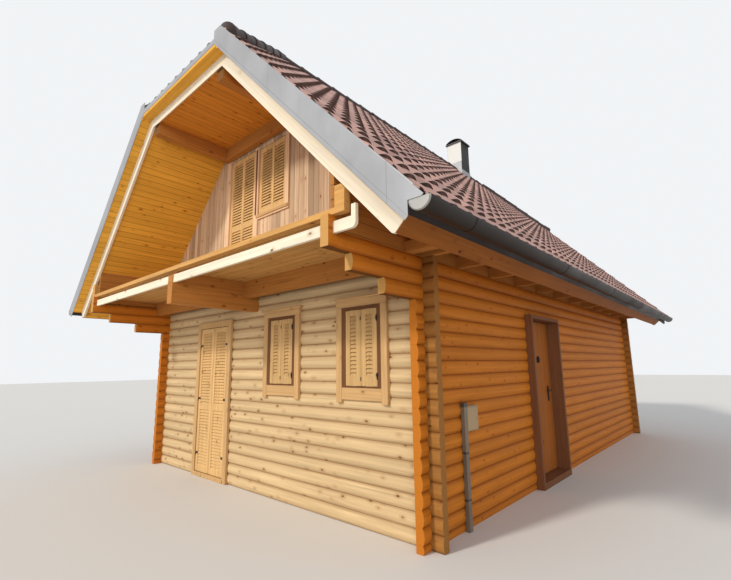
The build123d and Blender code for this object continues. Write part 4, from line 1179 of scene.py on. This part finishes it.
class Stage(bpy.types.Operator):
    """Set the floor, the soft light and the camera."""
    bl_idname = "cabin.stage"
    bl_label = "Set the Stage"

    def execute(self, context):
        levels = context.scene.cabin_light
        scene = context.scene
        scene.view_settings.view_transform = "Standard"
        self.floor()
        self.surroundings(scene, levels)
        self.lamp("key_light", (-6, -22, 16), (0, 0, 2), levels.key, 0.12, (1.0, 0.95, 0.86))
        self.lamp("fill_light", (14, -16, 5), (0, 0, 3), levels.fill, 0.6, (1.0, 0.94, 0.84))
        self.camera(scene, levels)
        return {"FINISHED"}

    def floor(self):
        """Plain pale floor under the cabin."""
        shape = bmesh.new()
        bmesh.ops.create_grid(shape, x_segments=1, y_segments=1, size=60.0)
        bmesh.ops.translate(shape, vec=(0, 0, -0.002), verts=shape.verts)
        pale = Finish("pale_floor", roughness=0.9, specular=0.1).paint((0.74, 0.73, 0.71))
        thing = built("pale_floor", shape, pale)

    def surroundings(self, scene, levels):
        """Even light from all around and a pale background."""
        scene.world = bpy.data.worlds.new("soft_surroundings")
        scene.world.use_nodes = True
        nodes = scene.world.node_tree.nodes
        links = scene.world.node_tree.links
        light = nodes["Background"]
        backdrop = nodes.new("ShaderNodeBackground")
        for node, tint, strength in ((light, (0.92, 0.95, 1.0, 1), levels.sky),
                                     (backdrop, (0.93, 0.95, 0.97, 1), 0.95)):
            node.inputs["Color"].default_value = tint
            node.inputs["Strength"].default_value = strength
        path = nodes.new("ShaderNodeLightPath")
        seen = path.outputs["Is Camera Ray"]
        for name in ("Is Glossy Ray", "Is Transmission Ray"):
            either = nodes.new("ShaderNodeMath")
            either.operation = "MAXIMUM"
            links.new(seen, either.inputs[0])
            links.new(path.outputs[name], either.inputs[1])
            seen = either.outputs[0]
        mix = nodes.new("ShaderNodeMixShader")
        for socket, source in zip(mix.inputs, (seen, light.outputs[0], backdrop.outputs[0])):
            links.new(source, socket)
        links.new(mix.outputs[0], nodes["World Output"].inputs["Surface"])

    def lamp(self, name, place, target, strength, width, tint):
        """Soft distant lamp of an angular width."""
        lamp = bpy.data.lights.new(name, "SUN")
        lamp.energy = strength
        lamp.angle = width
        lamp.color = tint
        thing = bpy.data.objects.new(name, lamp)
        thing.location = place
        thing.rotation_euler = (Vector(target) - Vector(place)).to_track_quat("-Z", "Y").to_euler()
        bpy.context.scene.collection.objects.link(thing)

    def camera(self, scene, levels):
        """Camera at the photograph's viewing angle."""
        data = bpy.data.cameras.new("camera")
        data.sensor_width = SENSOR_WIDTH
        data.lens = levels.focal / PHOTO_WIDTH * SENSOR_WIDTH
        data.clip_end = 200.0
        thing = bpy.data.objects.new("camera", data)
        turn = Matrix.Rotation(levels.heading, 4, "Z") @ Matrix.Rotation(math.pi / 2 + levels.pitch, 4, "X")
        thing.matrix_world = Matrix.Translation(levels.place) @ turn @ Matrix.Rotation(levels.roll, 4, "Z")
        scene.collection.objects.link(thing)
        scene.camera = thing


class CabinPanel(bpy.types.Panel):
    """Sidebar panel with the cabin's settings and operators."""
    bl_idname = "VIEW3D_PT_cabin"
    bl_label = "Log Cabin"
    bl_space_type = "VIEW_3D"
    bl_region_type = "UI"
    bl_category = "Cabin"

    def draw(self, context):
        for operator in OPERATORS:
            self.layout.operator(operator.bl_idname)
        for name in GROUPS:
            group = getattr(context.scene, name)
            box = self.layout.box()
            for field in group.bl_rna.properties.keys():
                if field not in ("rna_type", "name"):
                    box.prop(group, field)


OPERATORS = (LogFinishes, RoofTiles, EaveMetal, Windows, Doors, WallFittings, Stage)
GROUPS = {
    "cabin_colours": CabinColours,
    "cabin_tiles": TileSizes,
    "cabin_joinery": JoinerySizes,
    "cabin_metal": MetalSizes,
    "cabin_light": LightLevels,
}


def register():
    """Register the settings, the operators and the panel."""
    for name, group in GROUPS.items():
        bpy.utils.register_class(group)
        setattr(bpy.types.Scene, name, bpy.props.PointerProperty(type=group))
    for panel_part in (*OPERATORS, CabinPanel):
        bpy.utils.register_class(panel_part)


def unregister():
    """Take the add-on's classes and settings away again."""
    for panel_part in (CabinPanel, *reversed(OPERATORS)):
        bpy.utils.unregister_class(panel_part)
    for name, group in reversed(GROUPS.items()):
        delattr(bpy.types.Scene, name)
        bpy.utils.unregister_class(group)


def main():
    """Dress the cabin and set the stage."""
    register()
    bpy.ops.cabin.log_finishes()
    bpy.ops.cabin.roof_tiles()
    bpy.ops.cabin.eave_metal()
    bpy.ops.cabin.windows()
    bpy.ops.cabin.doors()
    bpy.ops.cabin.wall_fittings()
    bpy.ops.cabin.stage()


if __name__ == "__main__":
    main()
